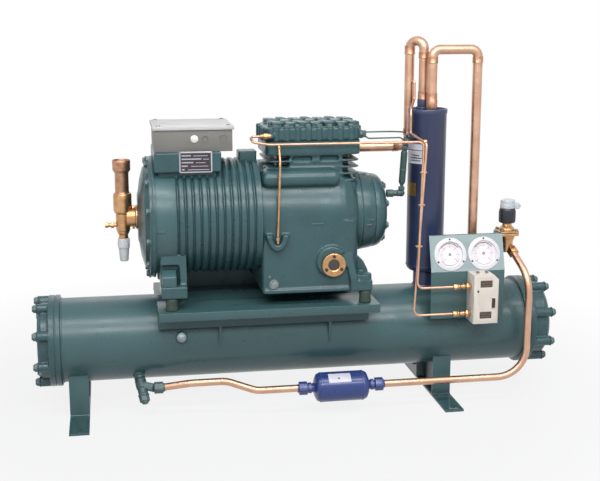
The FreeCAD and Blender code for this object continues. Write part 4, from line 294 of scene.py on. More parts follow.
def polar(radius: float, degrees: float, height: float = 0.0) -> Vector:
    """Point at a radius and an angle round local Z."""
    turn = math.radians(degrees)
    return Vector((radius * math.cos(turn), radius * math.sin(turn), height))


def on_circle(radius: float, degrees: float, x: float, z: float) -> Vector:
    """Point round an axis along X at a height; the angle runs upwards from the rear."""
    around = polar(radius, degrees)
    return Vector((x, around.x, z + around.y))


def circle_of(count: int, radius: float, x: float, z: float, half: float = 0.5) -> list[Vector]:
    """Even points round an axis along X; half is the first one's share of a step from the rear."""
    return [on_circle(radius, 360 * (i + half) / count, x, z) for i in range(count)]


def box_round(middle: Point, reach: Point) -> tuple[Vector, Vector]:
    """Lowest and highest corner of a box that reaches equally far on both sides of a point."""
    return Vector(middle) - Vector(reach), Vector(middle) + Vector(reach)


class Workpiece:
    """A mesh in the making, in millimetres, shaped by bmesh operators; ease is the width of rounded edges."""

    def __init__(self, base: Matrix | None = None) -> None:
        """Starts empty; base places everything on it at delivery."""
        self.mesh = bmesh.new()
        self.base = base or Matrix.Identity(4)

    def ease(self, verts: Iterable[Vert], width: float, segments: int = 2, angle: float = 28.0) -> None:
        """Rounds the edges among some vertices that turn by more than an angle; none at width zero."""
        edges = {edge for vert in verts if vert.is_valid for edge in vert.link_edges}
        faces = list({face for edge in edges for face in edge.link_faces})
        bmesh.ops.recalc_face_normals(self.mesh, faces=faces)
        limit = math.radians(angle)
        sharp = [e for e in edges if len(e.link_faces) == 2 and e.calc_face_angle(0.0) > limit]
        if width > 0 and sharp:
            self.bevel(sharp, width, segments)

    def bevel(self, edges: list[Edge], width: float, segments: int) -> dict:
        """Rounds some edges."""
        return bmesh.ops.bevel(self.mesh, geom=edges, offset=width, offset_type="OFFSET", segments=segments,
                               profile=0.5, affect="EDGES", clamp_overlap=True, material=-1)

    def box(self, low: Point, high: Point) -> list[Vert]:
        """Adds a plain box between two corners."""
        verts = bmesh.ops.create_cube(self.mesh, size=1.0)["verts"]
        span = Vector(high) - Vector(low)
        bmesh.ops.scale(self.mesh, vec=span, verts=verts)
        bmesh.ops.translate(self.mesh, vec=Vector(low) + span / 2, verts=verts)
        return verts

    def block(self, low: Point, high: Point, ease: float = 1.0, segments: int = 2) -> None:
        """Adds a box between two corners, with eased edges."""
        self.ease(self.box(low, high), ease, segments)

    def slab(self, low: Point, high: Point, corner: float, ease: float = 1.0, along: int = 2) -> None:
        """Adds a box whose four edges along one axis are rounded to a corner radius."""
        edges = {edge for vert in self.box(low, high) for edge in vert.link_edges}
        posts = [e for e in edges if abs((e.verts[0].co - e.verts[1].co).normalized()[along]) > 0.9]
        rounded = self.bevel(posts, corner, CORNER_SEGMENTS)
        self.ease({v for face in rounded["faces"] for v in face.verts}, ease, 2, 60.0)

    def rod(self, radius: float, length: float, at: Point, direction: Point = UP, ease: float = 0.6,
            steps: int = 48, top: float | None = None) -> None:
        """Adds a cylinder, or a cone where a top radius is given, from a base centre along a direction."""
        verts = bmesh.ops.create_cone(self.mesh, cap_ends=True, segments=steps, radius1=radius,
                                      radius2=radius if top is None else top, depth=length,
                                      matrix=frame_at(at, direction) @ Matrix.Translation((0, 0, length / 2)))["verts"]
        self.ease(verts, ease, 2, 35.0)

    def hexagon(self, flats: float, length: float, at: Point, direction: Point = UP, ease: float = 0.7) -> None:
        """Adds a hexagon prism given across its flats."""
        self.rod(flats / math.sqrt(3), length, at, direction, ease, 6)

    def bolt(self, flats: float, head: float, at: Point, direction: Point, washer: float = 1.5,
             stud: float = 0.0) -> None:
        """Adds a washer, a hexagon head or nut and, where given, the stud's end."""
        aim = Vector(direction).normalized()
        self.rod(flats * 0.72, washer, at, direction, 0.3, 24)
        top = Vector(at) + aim * washer
        self.hexagon(flats, head, top, direction)
        self.rod(flats * 0.42, 0.6 + stud, top + aim * head, direction, 0.3, 20)

    def turned(self, profile: Outline, at: Point, direction: Point = UP, ease: float = 0.0, steps: int = 96,
               closed: bool = False) -> None:
        """Spins a profile of (radius, distance along the axis) corners; closed joins the last to the first."""
        verts = [self.mesh.verts.new((r, 0.0, h)) for r, h in profile]
        edges = [self.mesh.edges.new(pair) for pair in zip(verts, verts[1:])]
        if closed:
            edges.append(self.mesh.edges.new((verts[-1], verts[0])))
        before = set(self.mesh.verts) - set(verts)
        bmesh.ops.spin(self.mesh, geom=verts + edges, cent=(0, 0, 0), axis=UP, dvec=(0, 0, 0),
                       angle=2 * math.pi, steps=steps, use_merge=True)
        made = [v for v in self.mesh.verts if v not in before]
        bmesh.ops.remove_doubles(self.mesh, verts=made, dist=1e-4)
        made = [v for v in self.mesh.verts if v not in before]
        bmesh.ops.transform(self.mesh, matrix=frame_at(at, direction), verts=made)
        self.ease(made, ease, 2, 20.0)

    def prism(self, outline: Outline, start: float, length: float, axis: str = "x", ease: float = 1.0) -> None:
        """Adds a shape of one outline along x, with (y, z) corners, or along y, with (x, z) corners."""
        corners = [(start, u, v) if axis == "x" else (u, start, v) for u, v in outline]
        face = self.mesh.faces.new([self.mesh.verts.new(corner) for corner in corners])
        grown = bmesh.ops.extrude_face_region(self.mesh, geom=[face])["geom"]
        far = [g for g in grown if isinstance(g, Vert)]
        bmesh.ops.translate(self.mesh, vec=Vector([length * (axis == a) for a in "xyz"]), verts=far)
        self.ease([*far, *[e.other_vert(v) for v in far for e in v.link_edges]], ease)

    def pipe(self, route: Sequence[Point], bends: Sequence[float], radius: float, steps: int = 24) -> None:
        """Adds a tube along a route of corner points, with a bend radius at each inner corner."""
        points = [Vector(p) for p in route]
        start = points[0]
        ring = bmesh.ops.create_circle(self.mesh, cap_ends=True, segments=steps, radius=radius,
                                       matrix=frame_at(start, points[1] - start))["verts"]
        edges = list({e for v in ring for e in v.link_edges})
        for before, corner, after, bend in zip(points, points[1:], points[2:], bends):
            into = (corner - before).normalized()
            out = (after - corner).normalized()
            turn = into.angle(out)
            back = bend * math.tan(turn / 2)
            edges = self._run(edges, corner - into * back - start)
            centre = corner + (out - into).normalized() * (bend / math.cos(turn / 2))
            verts = list({v for e in edges for v in e.verts})
            spun = bmesh.ops.spin(self.mesh, geom=verts + edges, cent=centre, axis=into.cross(out), dvec=(0, 0, 0),
                                  angle=turn, steps=max(2, round(turn / BEND_STEP)))
            edges = [g for g in spun["geom_last"] if isinstance(g, Edge)]
            start = corner + out * back
        edges = self._run(edges, points[-1] - start)
        bmesh.ops.edgeloop_fill(self.mesh, edges=edges)

    def _run(self, edges: list[Edge], vector: Vector) -> list[Edge]:
        """Extrudes a ring of edges along a vector and returns the new ring."""
        grown = bmesh.ops.extrude_edge_only(self.mesh, edges=edges)["geom"]
        far = [g for g in grown if isinstance(g, Vert)]
        bmesh.ops.translate(self.mesh, vec=vector, verts=far)
        return [g for g in grown if isinstance(g, Edge)]

    def ball(self, radius: float, at: Point, stretch: Point = (1.0, 1.0, 1.0)) -> None:
        """Adds a sphere, stretched along the axes."""
        place = Matrix.Translation(Vector(at)) @ Matrix.Diagonal((*stretch, 1.0))
        bmesh.ops.create_uvsphere(self.mesh, u_segments=32, v_segments=18, radius=radius, matrix=place)

    def patch(self, base: Matrix, radii: Point, heights: Point, angles: Point, steps: int) -> None:
        """Adds a thin curved patch round local Z of a matrix, between two radii, heights and angles in degrees."""
        corners = [(radii[0], heights[0]), (radii[1], heights[0]), (radii[1], heights[1]), (radii[0], heights[1])]
        face = self.mesh.faces.new([self.mesh.verts.new(base @ polar(r, angles[0], h)) for r, h in corners])
        bmesh.ops.spin(self.mesh, geom=[face], cent=base.translation, axis=base.to_3x3() @ Vector(UP), dvec=(0, 0, 0),
                       angle=math.radians(angles[1] - angles[0]), steps=steps)

    def cast(self, voxel: float, passes: int = 6, cuts: Workpiece | None = None) -> Workpiece:
        """Unites what is on the piece, less its cuts, into one body with soft inner corners, as sand casting has."""
        holder = self._temporary("casting")
        scraps = [holder]
        holder.modifiers.new("unite", "REMESH").voxel_size = voxel
        if cuts:
            tool = cuts._temporary("cuts")
            scraps.append(tool)
            tool.modifiers.new("unite", "REMESH").voxel_size = voxel * 0.6
            cut = holder.modifiers.new("cut", "BOOLEAN")
            cut.object, cut.operation, cut.solver = tool, "DIFFERENCE", "EXACT"
            holder.modifiers.new("again", "REMESH").voxel_size = voxel
        soften = holder.modifiers.new("soften", "SMOOTH")
        soften.factor, soften.iterations = 0.5, passes
        result = Workpiece(self.base)
        cooled = evaluated(holder)
        result.mesh.from_mesh(cooled)
        for scrap in scraps:
            bpy.data.meshes.remove(scrap.data)
        bpy.data.meshes.remove(cooled)
        return result

    def _temporary(self, name: str) -> Thing:
        """Puts the mesh in the scene for modifiers to work on."""
        bmesh.ops.recalc_face_normals(self.mesh, faces=self.mesh.faces)
        return self._placed(name)

    def _placed(self, name: str) -> Thing:
        """Turns the finished mesh to an object in the scene."""
        mesh = bpy.data.meshes.new(name)
        self.mesh.to_mesh(mesh)
        self.mesh.free()
        return placed(name, mesh)

    def deliver(self, name: str, surface: Surface, *replaces: str, body: str = "unit", sharp: float = 38.0) -> None:
        """Makes the object, dresses it and puts it on its body.

        Args:
            name: The piece's name.
            surface: Its finish.
            replaces: CAD nodes that it stands for.
            body: CAD body that it rides on.
            sharp: Edges that turn by more than this many degrees stay crisp.
        """
        bmesh.ops.recalc_face_normals(self.mesh, faces=self.mesh.faces)
        bmesh.ops.transform(self.mesh, matrix=Matrix.Scale(MM, 4) @ self.base, verts=self.mesh.verts)
        piece = self._placed(name)
        piece.data.shade_smooth()
        piece.data.set_sharp_from_angle(angle=math.radians(sharp))
        piece.data.materials.append(surface.value.material())
        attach(piece, body)
        if replaces:
            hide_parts(*replaces)
        LOG.info("%s: %d faces on %s", name, len(piece.data.polygons), body)


def copied(node: Thing, ease: float) -> Workpiece:
    """Takes a CAD node's shape, merges its triangles into faces and eases its edges."""
    work = Workpiece()
    work.mesh.from_mesh(node.data)
    bmesh.ops.scale(work.mesh, vec=(1 / MM,) * 3, verts=work.mesh.verts)
    bmesh.ops.remove_doubles(work.mesh, verts=work.mesh.verts, dist=1e-3)
    bmesh.ops.dissolve_limit(work.mesh, angle_limit=math.radians(0.5), verts=work.mesh.verts,
                             edges=work.mesh.edges)
    work.ease(list(work.mesh.verts), ease, 2, 30.0)
    return work


@dataclass
class Condenser:
    """The shell-and-tube condenser: barrel, tube sheets, water covers, feet and platform."""

    nodes: Nodes
    axis_z: float = 187.0
    left: float = -523.0
    right: float = 705.0
    radius: float = 109.5
    rim: float = 118.5
    sheet: float = 14.0
    flange: float = 16.0
    bolt_circle: float = 105.5
    neck: float = 101.5
    depths: tuple[float, float] = (28.0, 46.0)
    seam_x: float = 471.0
    inlet_x: float = 577.0
    plug_x: float = -219.0

    def build(self) -> None:
        """Builds the condenser's pieces."""
        self.barrel()
        self.tube_sheets()
        self.cover("return_cover", self.left - self.sheet, LEFT, self.depths[0], (), "left_water_cover")
        self.cover("connection_cover", self.right + self.sheet, RIGHT, self.depths[1], (43.0, -43.0),
                   "right_water_cover")
        self.fasteners()
        self.supports()

    def barrel(self) -> None:
        """Rolled shell with weld beads and the bosses on it."""
        work = Workpiece()
        work.rod(self.radius, self.right - self.left, (self.left, 0, self.axis_z), RIGHT, 0.0, 160)
        for x, radius, width in ((self.left + 2, self.radius, 3.2), (self.right - 2, self.radius, 3.2),
                                 (self.seam_x, self.radius - 0.9, 2.2)):
            bead = [(radius - 1, -width), (radius + width * 0.45, -width * 0.5), (radius + width * 0.6, 0),
                    (radius + width * 0.45, width * 0.5), (radius - 1, width)]
            work.turned(bead, (x, 0, self.axis_z), RIGHT, 0.0, 160, closed=True)
        work.rod(20, 19, (self.inlet_x, -16, self.axis_z + self.radius - 10), UP, 2.0)
        foot, out = self.plug_seat(self.radius - 4)
        work.rod(17, 5.5, foot, out, 2.0, top=15)
        work.rod(14.5, 12, foot, out, 1.2)
        work.deliver("condenser_barrel", Surface.SHELL_ENAMEL, "condenser_shell")

    @staticmethod
    def plug_seat(radius: float) -> tuple[Vector, Vector]:
        """Point at a radius on the service plug's axis, and that axis, which leans up from the front."""
        tilt = math.radians(12)
        out = Vector((0, -math.cos(tilt), math.sin(tilt)))
        return Vector((Condenser.plug_x, 0, Condenser.axis_z)) + out * radius, out

    def tube_sheets(self) -> None:
        """Machined rims of the tube sheets with a gasket line against each cover."""
        work = Workpiece()
        for x, way in ((self.left, LEFT), (self.right, RIGHT)):
            work.rod(self.rim, self.sheet - 1.2, (x, 0, self.axis_z), way, 1.4, 128)
            work.rod(self.rim - 2, 1.6, (x + way[0] * (self.sheet - 1.4), 0, self.axis_z), way, 0.0, 128)
        work.deliver("tube_sheet_rims", Surface.SHELL_ENAMEL, "tube_sheets")

    def cover(self, name: str, start: float, way: Point, depth: float, ports: Sequence[float], node: str) -> None:
        """Casts a water cover: flange, neck, bolt lobes and, where given, water connections.

        Args:
            name: The piece's name.
            start: Coordinate of the joint face.
            way: Direction out of the shell.
            depth: Depth beyond the flange.
            ports: Heights of the water connections from the axis.
            node: CAD node that it stands for.
        """
        work = Workpiece()
        end, neck = self.flange + depth, self.neck
        profile = [(0, 0), (self.rim, 0), (self.rim, self.flange), (neck, self.flange), (neck, end - 9),
                   (neck - 9, end), (0, end)]
        work.turned(profile, (start, 0, self.axis_z), way, 1.5, 128)
        for spot in circle_of(8, self.bolt_circle, start + way[0] * (self.flange - 4), self.axis_z):
            work.rod(12.6, depth + 4, spot, way, 1.5, 32)
        cuts = None
        if ports:
            cuts = Workpiece()
            work.block((start + end - 18, -10, self.axis_z - 40), (start + end - 1, 10, self.axis_z + 40), 3)
        for offset in ports:
            work.rod(31, 26, (start + end - 26, 0, self.axis_z + offset), way, 2.0)
            cuts.rod(20, 40, (start + end - 26, 0, self.axis_z + offset), way, 0.0)
        work.cast(1.7, 5, cuts).deliver(name, Surface.CAST_ENAMEL, node, sharp=180)

    def fasteners(self) -> None:
        """Nuts, washers and stud ends on both covers."""
        work = Workpiece()
        left = self.left - self.sheet - self.flange - self.depths[0]
        right = self.right + self.sheet + self.flange + self.depths[1]
        for x, way in ((left, LEFT), (right, RIGHT)):
            for spot in circle_of(8, self.bolt_circle, x, self.axis_z):
                work.bolt(19, 7, spot - Vector(way) * 0.6, way, 1.6, 2.5)
        work.deliver("cover_nuts", Surface.BOLT_ENAMEL, "cover_bolts")

    def supports(self) -> None:
        """Saddle feet, platform and gussets, with welds along their seams."""
        for node, name, ease in (("left_foot", "left_saddle", 1.2), ("right_foot", "right_saddle", 1.2),
                                 ("platform", "platform_plates", 1.4), ("platform_gussets", "gusset_plates", 1.0)):
            copied(self.nodes[node], ease).deliver(name, Surface.SHELL_ENAMEL, node)
        welds = Workpiece()
        for x in (-482.0, 482.0):
            for y in (-84.0, 84.0):
                welds.pipe([(x - 24, y, 7.0), (x + 24, y, 7.0)], [], 3.0, 10)
        for x in (-120.0, 166.0):
            for way in (-1, 1):
                welds.pipe([(x + way * 3, -118, 235.5), (x + way * 3, -62, 235.5)], [], 2.2, 8)
        welds.deliver("support_welds", Surface.SHELL_ENAMEL)


@dataclass
class Compressor:
    """The semi-hermetic compressor: crankcase, motor, covers and cylinder head."""

    crank_z: float = 507.0
    platform_z: float = 290.0
    floor_z: float = 322.0
    deck_z: float = 698.0
    deck_left: float = 5.0
    deck_right: float = 251.0
    deck_half: float = 91.0
    deck_corner: float = 24.0
    left: float = -12.0
    right: float = 241.0
    motor_left: float = -277.0
    half: float = 135.0
    sight: tuple[float, float] = (169.0, -113.0)

    def build(self) -> None:
        """Builds the compressor's pieces."""
        self.buffers()
        self.crankcase()
        self.motor()
        self.motor_cover()
        self.bearing_end()
        self.head()
        self.sight_glass()
        self.plugs()

    def buffers(self) -> None:
        """Waisted rubber mounts with steel washers and the bolts through the feet."""
        rubber, steel = Workpiece(), Workpiece()
        for x in (-243.0, 254.0):
            for y in (-134.0, 134.0):
                rubber.turned([(0, 0), (15, 0), (16, 4), (14.4, 16), (16, 28), (15, 32), (0, 32)],
                              (x, y, self.platform_z), UP, 0.8, 40)
                steel.rod(12, 2, (x, y, 353), UP, 0.4, 28)
                steel.hexagon(17, 8, (x, y, 355))
                steel.rod(5.5, 4, (x, y, 363), UP, 0.6, 20)
        rubber.deliver("mount_rubbers", Surface.BUFFER_RUBBER, "rubber_buffers")
        steel.deliver("mount_bolts", Surface.BOLT_ENAMEL)

    def crankcase(self) -> None:
        """The cylinder block casting with fins, gallery, feet, lug and bosses."""
        work, cuts = Workpiece(), Workpiece()
        left, right, half, crank, deck = self.left, self.right, self.half, self.crank_z, self.deck_z
        work.slab((left, -half, self.floor_z), (right - 60, half, crank), 10, 2.0)
        work.slab((right - 140, -half, self.floor_z), (right - 3, half, crank), 26, 2.0)
        profile = [(0, 0), (half, 0), (half, 200), (half - 3, 218), (half - 14, 240), (half - 27, 253), (0, 253)]
        work.turned(profile, (left, 0, crank), RIGHT, 0.0, 120)
        work.slab((left, -half - 6, self.floor_z), (right + 6, half + 6, self.floor_z + 11), 8, 2.0)
        work.block((36, -66, crank), (222, 66, deck), 3.0)
        work.slab((self.deck_left, -self.deck_half, deck - 30), (self.deck_right, self.deck_half, deck),
                  self.deck_corner, 1.5)
        for fin in range(4):
            low = deck - 30 - 17 * (fin + 1)
            work.slab((8, -90, low), (248 if fin < 3 else 241, 90, low + 5), 22, 1.2)
        work.slab((64, -88, 590), (203, 88, deck - 12), 5, 3.0)
        for start, end in ((72, 123), (143, 192)):
            cuts.slab((start, -120, 652), (end, -78, 666), 6.5, 0.0, along=1)
        for way in (-1, 1):
            low, high = sorted((way * 102, way * 60))
            work.slab((-8, low, crank + 83), (186, high, crank + 128), 16, 6.0, along=1)
            work.rod(22.5, 198, (-8, way * 102, crank + 105.5), RIGHT, 13.0, 56)
            self.foot(work, cuts, way)
        work.rod(33, 7, (self.sight[0], -half, crank + self.sight[1]), FRONT, 1.5)
        work.rod(40, 12, (165, -half + 2, crank - 105), FRONT, 6.0)
        cuts.rod(31.5, 30, (self.sight[0], -half - 7.5, crank + self.sight[1]), FRONT, 0.0)
        lip = 476
        lug = [(-4, lip), (-2, 467), (3, 453), (10, 441), (19, 435), (31, 435), (40, 441), (47, 453), (52, 467),
               (54, lip), (38, lip), (37, 463), (34, 455), (29, 450), (21, 450), (16, 455), (13, 463), (12, lip)]
        work.prism(lug, -half - 14.6, 18, "y", 1.5)
        work.rod(11, 3, (16, -half, crank - 160), FRONT, 1.0)
        work.block((2, -half - 4, self.floor_z + 8), (9, -half + 2, crank - 140), 2.0)
        body = work.cast(2.2, 5, cuts)
        for start, end in ((74, 121), (145, 190)):
            body.prism([(-87.8, 651), (-76, 651), (-76, 662)], start, end - start, "x", 0.8)
        body.block((113.5, -136.4, 497.6), (144.5, -134, 501.4), 0.6)
        for z in (488.0, 511.0):
            body.rod(1.8, 1.6, (129, -134.8, z), FRONT, 0.4, 16)
        body.deliver("crankcase_casting", Surface.CAST_ENAMEL, "crankcase", sharp=60)

    def foot(self, work: Workpiece, cuts: Workpiece, way: int) -> None:
        """Adds one of the crankcase's feet, on the side that way signs: pad, leaning web, rib and boss."""
        half, floor = self.half, self.floor_z
        low, high = sorted((way * 150, way * (half - 14)))
        work.block((213, low, floor), (271, high, floor + 29), 3.0)
        web = [(215, floor + 15), (200, floor + 98), (220, floor + 98), (234, floor + 15)]
        work.prism(web, min(way * 150, way * (half - 16)), 31, "y", 2.0)
        cuts.prism([(way * 151, floor + 30), (way * 135.5, floor + 101), (way * 170, floor + 101),
                    (way * 170, floor + 30)], 190, 39, "x", 0.0)
        rib = [(232, floor + 88), (240, floor + 86), (256, floor + 70), (268, floor + 46), (271, floor + 20),
               (232, floor + 20)]
        work.prism(rib, way * 100 - 5, 10, "y", 2.0)
        work.rod(21.5, 24, (250, way * 130, floor + 20), UP, 2.5, 40)

    def motor(self) -> None:
        """Ribbed motor barrel with its terminal boss, feet and the step beside the cylinder deck."""
        barrel = Workpiece()
        outer, shoulder, groove, length = 148.0, 146.6, 142.6, 265.0
        profile = [(0.0, 0.0), (outer, 0.0), (outer, 50.0)]
        for rib in range(11):
            start = 52 + 19.2 * rib
            profile += [(shoulder, start), (groove, start + 2.2), (groove, start + 4.4), (shoulder, start + 6.6),
                        (outer, start + 8.6), (148.3, start + 12.5), (outer, start + 17.0)]
        profile += [(outer, length), (0.0, length)]
        barrel.turned(profile, (self.motor_left, 0, self.crank_z), RIGHT, 0.0, 160)
        barrel.deliver("motor_barrel", Surface.CAST_ENAMEL, "motor_housing", sharp=50)
        work, cuts = Workpiece(), Workpiece()
        work.block((-277, -108, 634), (-110, 86, 685), 3.0)
        work.block((-270, -90, 560), (-120, 80, 650), 3.0)
        work.block((-58, -26, 560), (-11, 26, 671), 3.0)
        work.slab((-58, -26, 669), (-10, 26, 674.5), 3, 1.5)
        for way in (-1, 1):
            leg = [(150, self.floor_z), (150, 353), (137, 356), (124, 433), (74, 433), (61, self.floor_z)]
            work.prism([(way * y, z) for y, z in leg], -269, 66, "x", 2.5)
            low, high = sorted((way * 160, way * 112))
            cuts.block((-280, low, 353), (-221, high, 405), 6.0)
        # A web at the rear closes the gap under the motor over the platform. The sill under the crankcase is a sheet
        # that stands in for the shade in the gap there: painted shade that hides the pale backdrop.
        work.block((-216, 98, self.platform_z - 4), (-12, 108, 420), 2.0)
        work.block((-60, 98, self.platform_z - 4), (236, 108, self.floor_z), 2.0)
        body = work.cast(2.0, 6, cuts)
        for way in (-1, 1):
            boss = [(146, 350), (146, 378), (130, 388), (118, 392), (118, 350)]
            body.prism([(way * y, z) for y, z in boss], -266, 36, "x", 2.5)
        body.block((-275, -149.4, 492.3), (-254, -146, 495.9), 0.6)
        body.deliver("motor_boss_and_feet", Surface.CAST_ENAMEL, sharp=60)

    def motor_cover(self) -> None:
        """Dished end cover with a stepped rim, bolt lands and its bolts."""
        work, bolts = Workpiece(), Workpiece()
        profile = [(0, 0), (157, 0), (157, 6), (155.5, 7), (155.5, 15), (136, 15), (133, 17), (128, 26), (100, 34),
                   (66, 39), (62, 41), (0, 41)]
        work.turned(profile, (self.motor_left, 0, self.crank_z), LEFT, 1.0, 160)
        for spot in circle_of(12, 146, self.motor_left - 12, self.crank_z):
            work.rod(11.5, 4, spot, LEFT, 0.8, 28)
            bolts.bolt(15, 6, spot + Vector((-4, 0, 0)), LEFT, 1.2)
        for spot in circle_of(6, 100, self.motor_left - 24, self.crank_z, 0.0):
            centre = Vector((self.motor_left - 30, 0, self.crank_z))
            reach = (spot - centre).normalized()
            work.pipe([centre + reach * 64, centre + reach * 128 + Vector((9, 0, 0))], [], 5.0, 12)
        work.deliver("motor_end_dish", Surface.CAST_ENAMEL, "motor_end_cover")
        bolts.deliver("motor_end_bolts", Surface.BOLT_ENAMEL, "end_cover_bolts")

    def bearing_end(self) -> None:
        """Bearing housing and the rounded oil pump cover, with bolts."""
        housing, pump, bolts = Workpiece(), Workpiece(), Workpiece()
        depth = 50
        housing.turned([(0, 0), (106, 0), (106, 12), (105.5, 13), (103.4, 14.6), (105, 16.5), (99.8, 48),
                        (98, depth), (0, depth)], (self.right, 0, self.crank_z), RIGHT, 0.6, 144)
        for angle in (-168, 12, 102, -78):
            housing.rod(2.2, 14, on_circle(102.6, angle, self.right + 24, self.crank_z), RIGHT, 0.8, 12)
        housing.block((268, -103.8, 497.4), (285, -98, 500.8), 0.6)
        housing.deliver("bearing_housing", Surface.CAST_ENAMEL, "bearing_cover")
        start = self.right + depth
        pump.turned([(0, 0), (97, 0), (98.2, 1), (97.6, 10), (96, 16), (92.6, 22), (87, 27.5), (80, 32), (72, 34.4),
                     (66, 35), (0, 35)], (start, 0, self.crank_z), RIGHT, 0.0, 144)
        pump.rod(40, 4.6, (start + 34, 0, self.crank_z), RIGHT, 2.0, 64)
        for spot in circle_of(8, 74, start + 30, self.crank_z):
            pump.rod(11.5, 3.6, spot, RIGHT, 0.8, 28)
            bolts.bolt(14, 4.4, spot + Vector((3.2, 0, 0)), RIGHT, 1.0)
        pump.deliver("oil_pump_housing", Surface.CAST_ENAMEL, "oil_pump_cover")
        bolts.deliver("oil_pump_bolts", Surface.BOLT_ENAMEL, "pump_cover_bolts")

    def head(self) -> None:
        """Valve plate between gaskets, the waffle-topped head casting and its bolts."""
        plate = Workpiece()
        for inset, low, high, ease in ((0, 0, 1, 0.0), (1, 1, 5, 0.5), (0, 5, 6, 0.0)):
            plate.slab((self.deck_left + inset, inset - self.deck_half, self.deck_z + low),
                       (self.deck_right - inset, self.deck_half - inset, self.deck_z + high), self.deck_corner, ease)
        plate.deliver("valve_plate_stack", Surface.SHELL_ENAMEL, "valve_plate")
        base = self.deck_z + 6
        work, bolts = Workpiece(), Workpiece()
        work.slab((self.deck_left, -86, base), (self.deck_right, 86, base + 34), 26, 5.0)
        for column in range(8):
            x = 31 + 194 * column / 7
            for way in (-1, 1):
                work.rod(8.6, 34, (x, way * 82, base), UP, 2.0, 28)
                bolts.bolt(13, 6, (x, way * 79.5, base + 34.2), UP, 1.2)
        for x in (4.5, 251.5):
            for y in (-44.0, 0.0, 44.0):
                work.rod(7.5, 34, (x, y, base), UP, 2.0, 28)
        for row in range(4):
            for column in range(7):
                x = 26 + 33 * column - (8 if row % 2 else 0)
                y = -58.5 + 39 * row
                work.block((x, y - 15, base + 30), (x + 22, y + 15, base + 48 - (column + row) % 2 * 2), 2.5)
                work.block((x + 4, y + 10, base + 30), (x + 30, y + 20, base + 45), 2.0)
        plug_seat, side_seat = (-88, base + 15), (-60, base + 13)
        work.rod(9, 14, (26, -82, base + 15), (-0.8, -0.6, 0.0), 1.2, 32)
        work.rod(11, 16, (244, *side_seat), RIGHT, 1.2, 32)
        work.cast(1.7, 4).deliver("head_casting", Surface.CAST_ENAMEL, "cylinder_head", sharp=180)
        bolts.deliver("head_bolt_set", Surface.BOLT_ENAMEL, "head_bolts")
        plug, adaptor = Workpiece(), Workpiece()
        plug.rod(6.5, 8, (18, *plug_seat), LEFT, 0.8, 24)
        plug.hexagon(14, 11, (10, *plug_seat), LEFT)
        plug.rod(4.8, 8, (-1, *plug_seat), LEFT, 0.8, 24)
        plug.deliver("head_plug", Surface.BRASS)
        adaptor.hexagon(21, 8, (self.deck_right, *side_seat), RIGHT)
        for lift in (4.6, -4.6):
            adaptor.hexagon(8.6, 9, (260, -60, base + 13 + lift), RIGHT)
        adaptor.block((253, -68, base + 5), (266, -52, base + 21), 3.0)
        adaptor.deliver("head_adaptor_fitting", Surface.OIL_LINE)

    def sight_glass(self) -> None:
        """Brass ring with three screws round a domed glass."""
        ring, glass, screws = Workpiece(), Workpiece(), Workpiece()
        at = Vector((self.sight[0], -self.half - 7, self.crank_z + self.sight[1]))
        ring.turned([(14, 0), (30.5, 0), (30.5, 8), (29, 9), (16.5, 9), (14, 7)], at, FRONT, 0.6, 72, closed=True)
        ring.deliver("oil_glass_ring", Surface.BRASS, "sight_glass_ring")
        glass.turned([(0, 1), (14, 1), (14, 5), (9, 6.6), (0, 7.4)], at, FRONT, 0.0, 48)
        glass.deliver("oil_glass_dome", Surface.OIL_GLASS, "sight_glass_lens")
        for angle in (90, 210, 330):
            around = polar(22.5, angle)
            spot = at + Vector((around.x, -8.6, around.y))
            screws.rod(4.4, 3.4, spot, FRONT, 0.7, 24)
            screws.hexagon(4.6, 0.6, spot + Vector((0, -3.0, 0)), FRONT, 0.0)
        screws.deliver("oil_glass_screws", Surface.DARK_KNOB)

    def plugs(self) -> None:
        """Drain plug on the crankcase and the service plug on the shell."""
        work = Workpiece()
        work.bolt(17, 6, (16, -self.half - 2.6, self.crank_z - 160), FRONT, 1.4)
        work.bolt(16, 6, *Condenser.plug_seat(117.3), 1.0)
        work.deliver("service_plugs", Surface.ZINC_PLATE, "pipe_plugs")


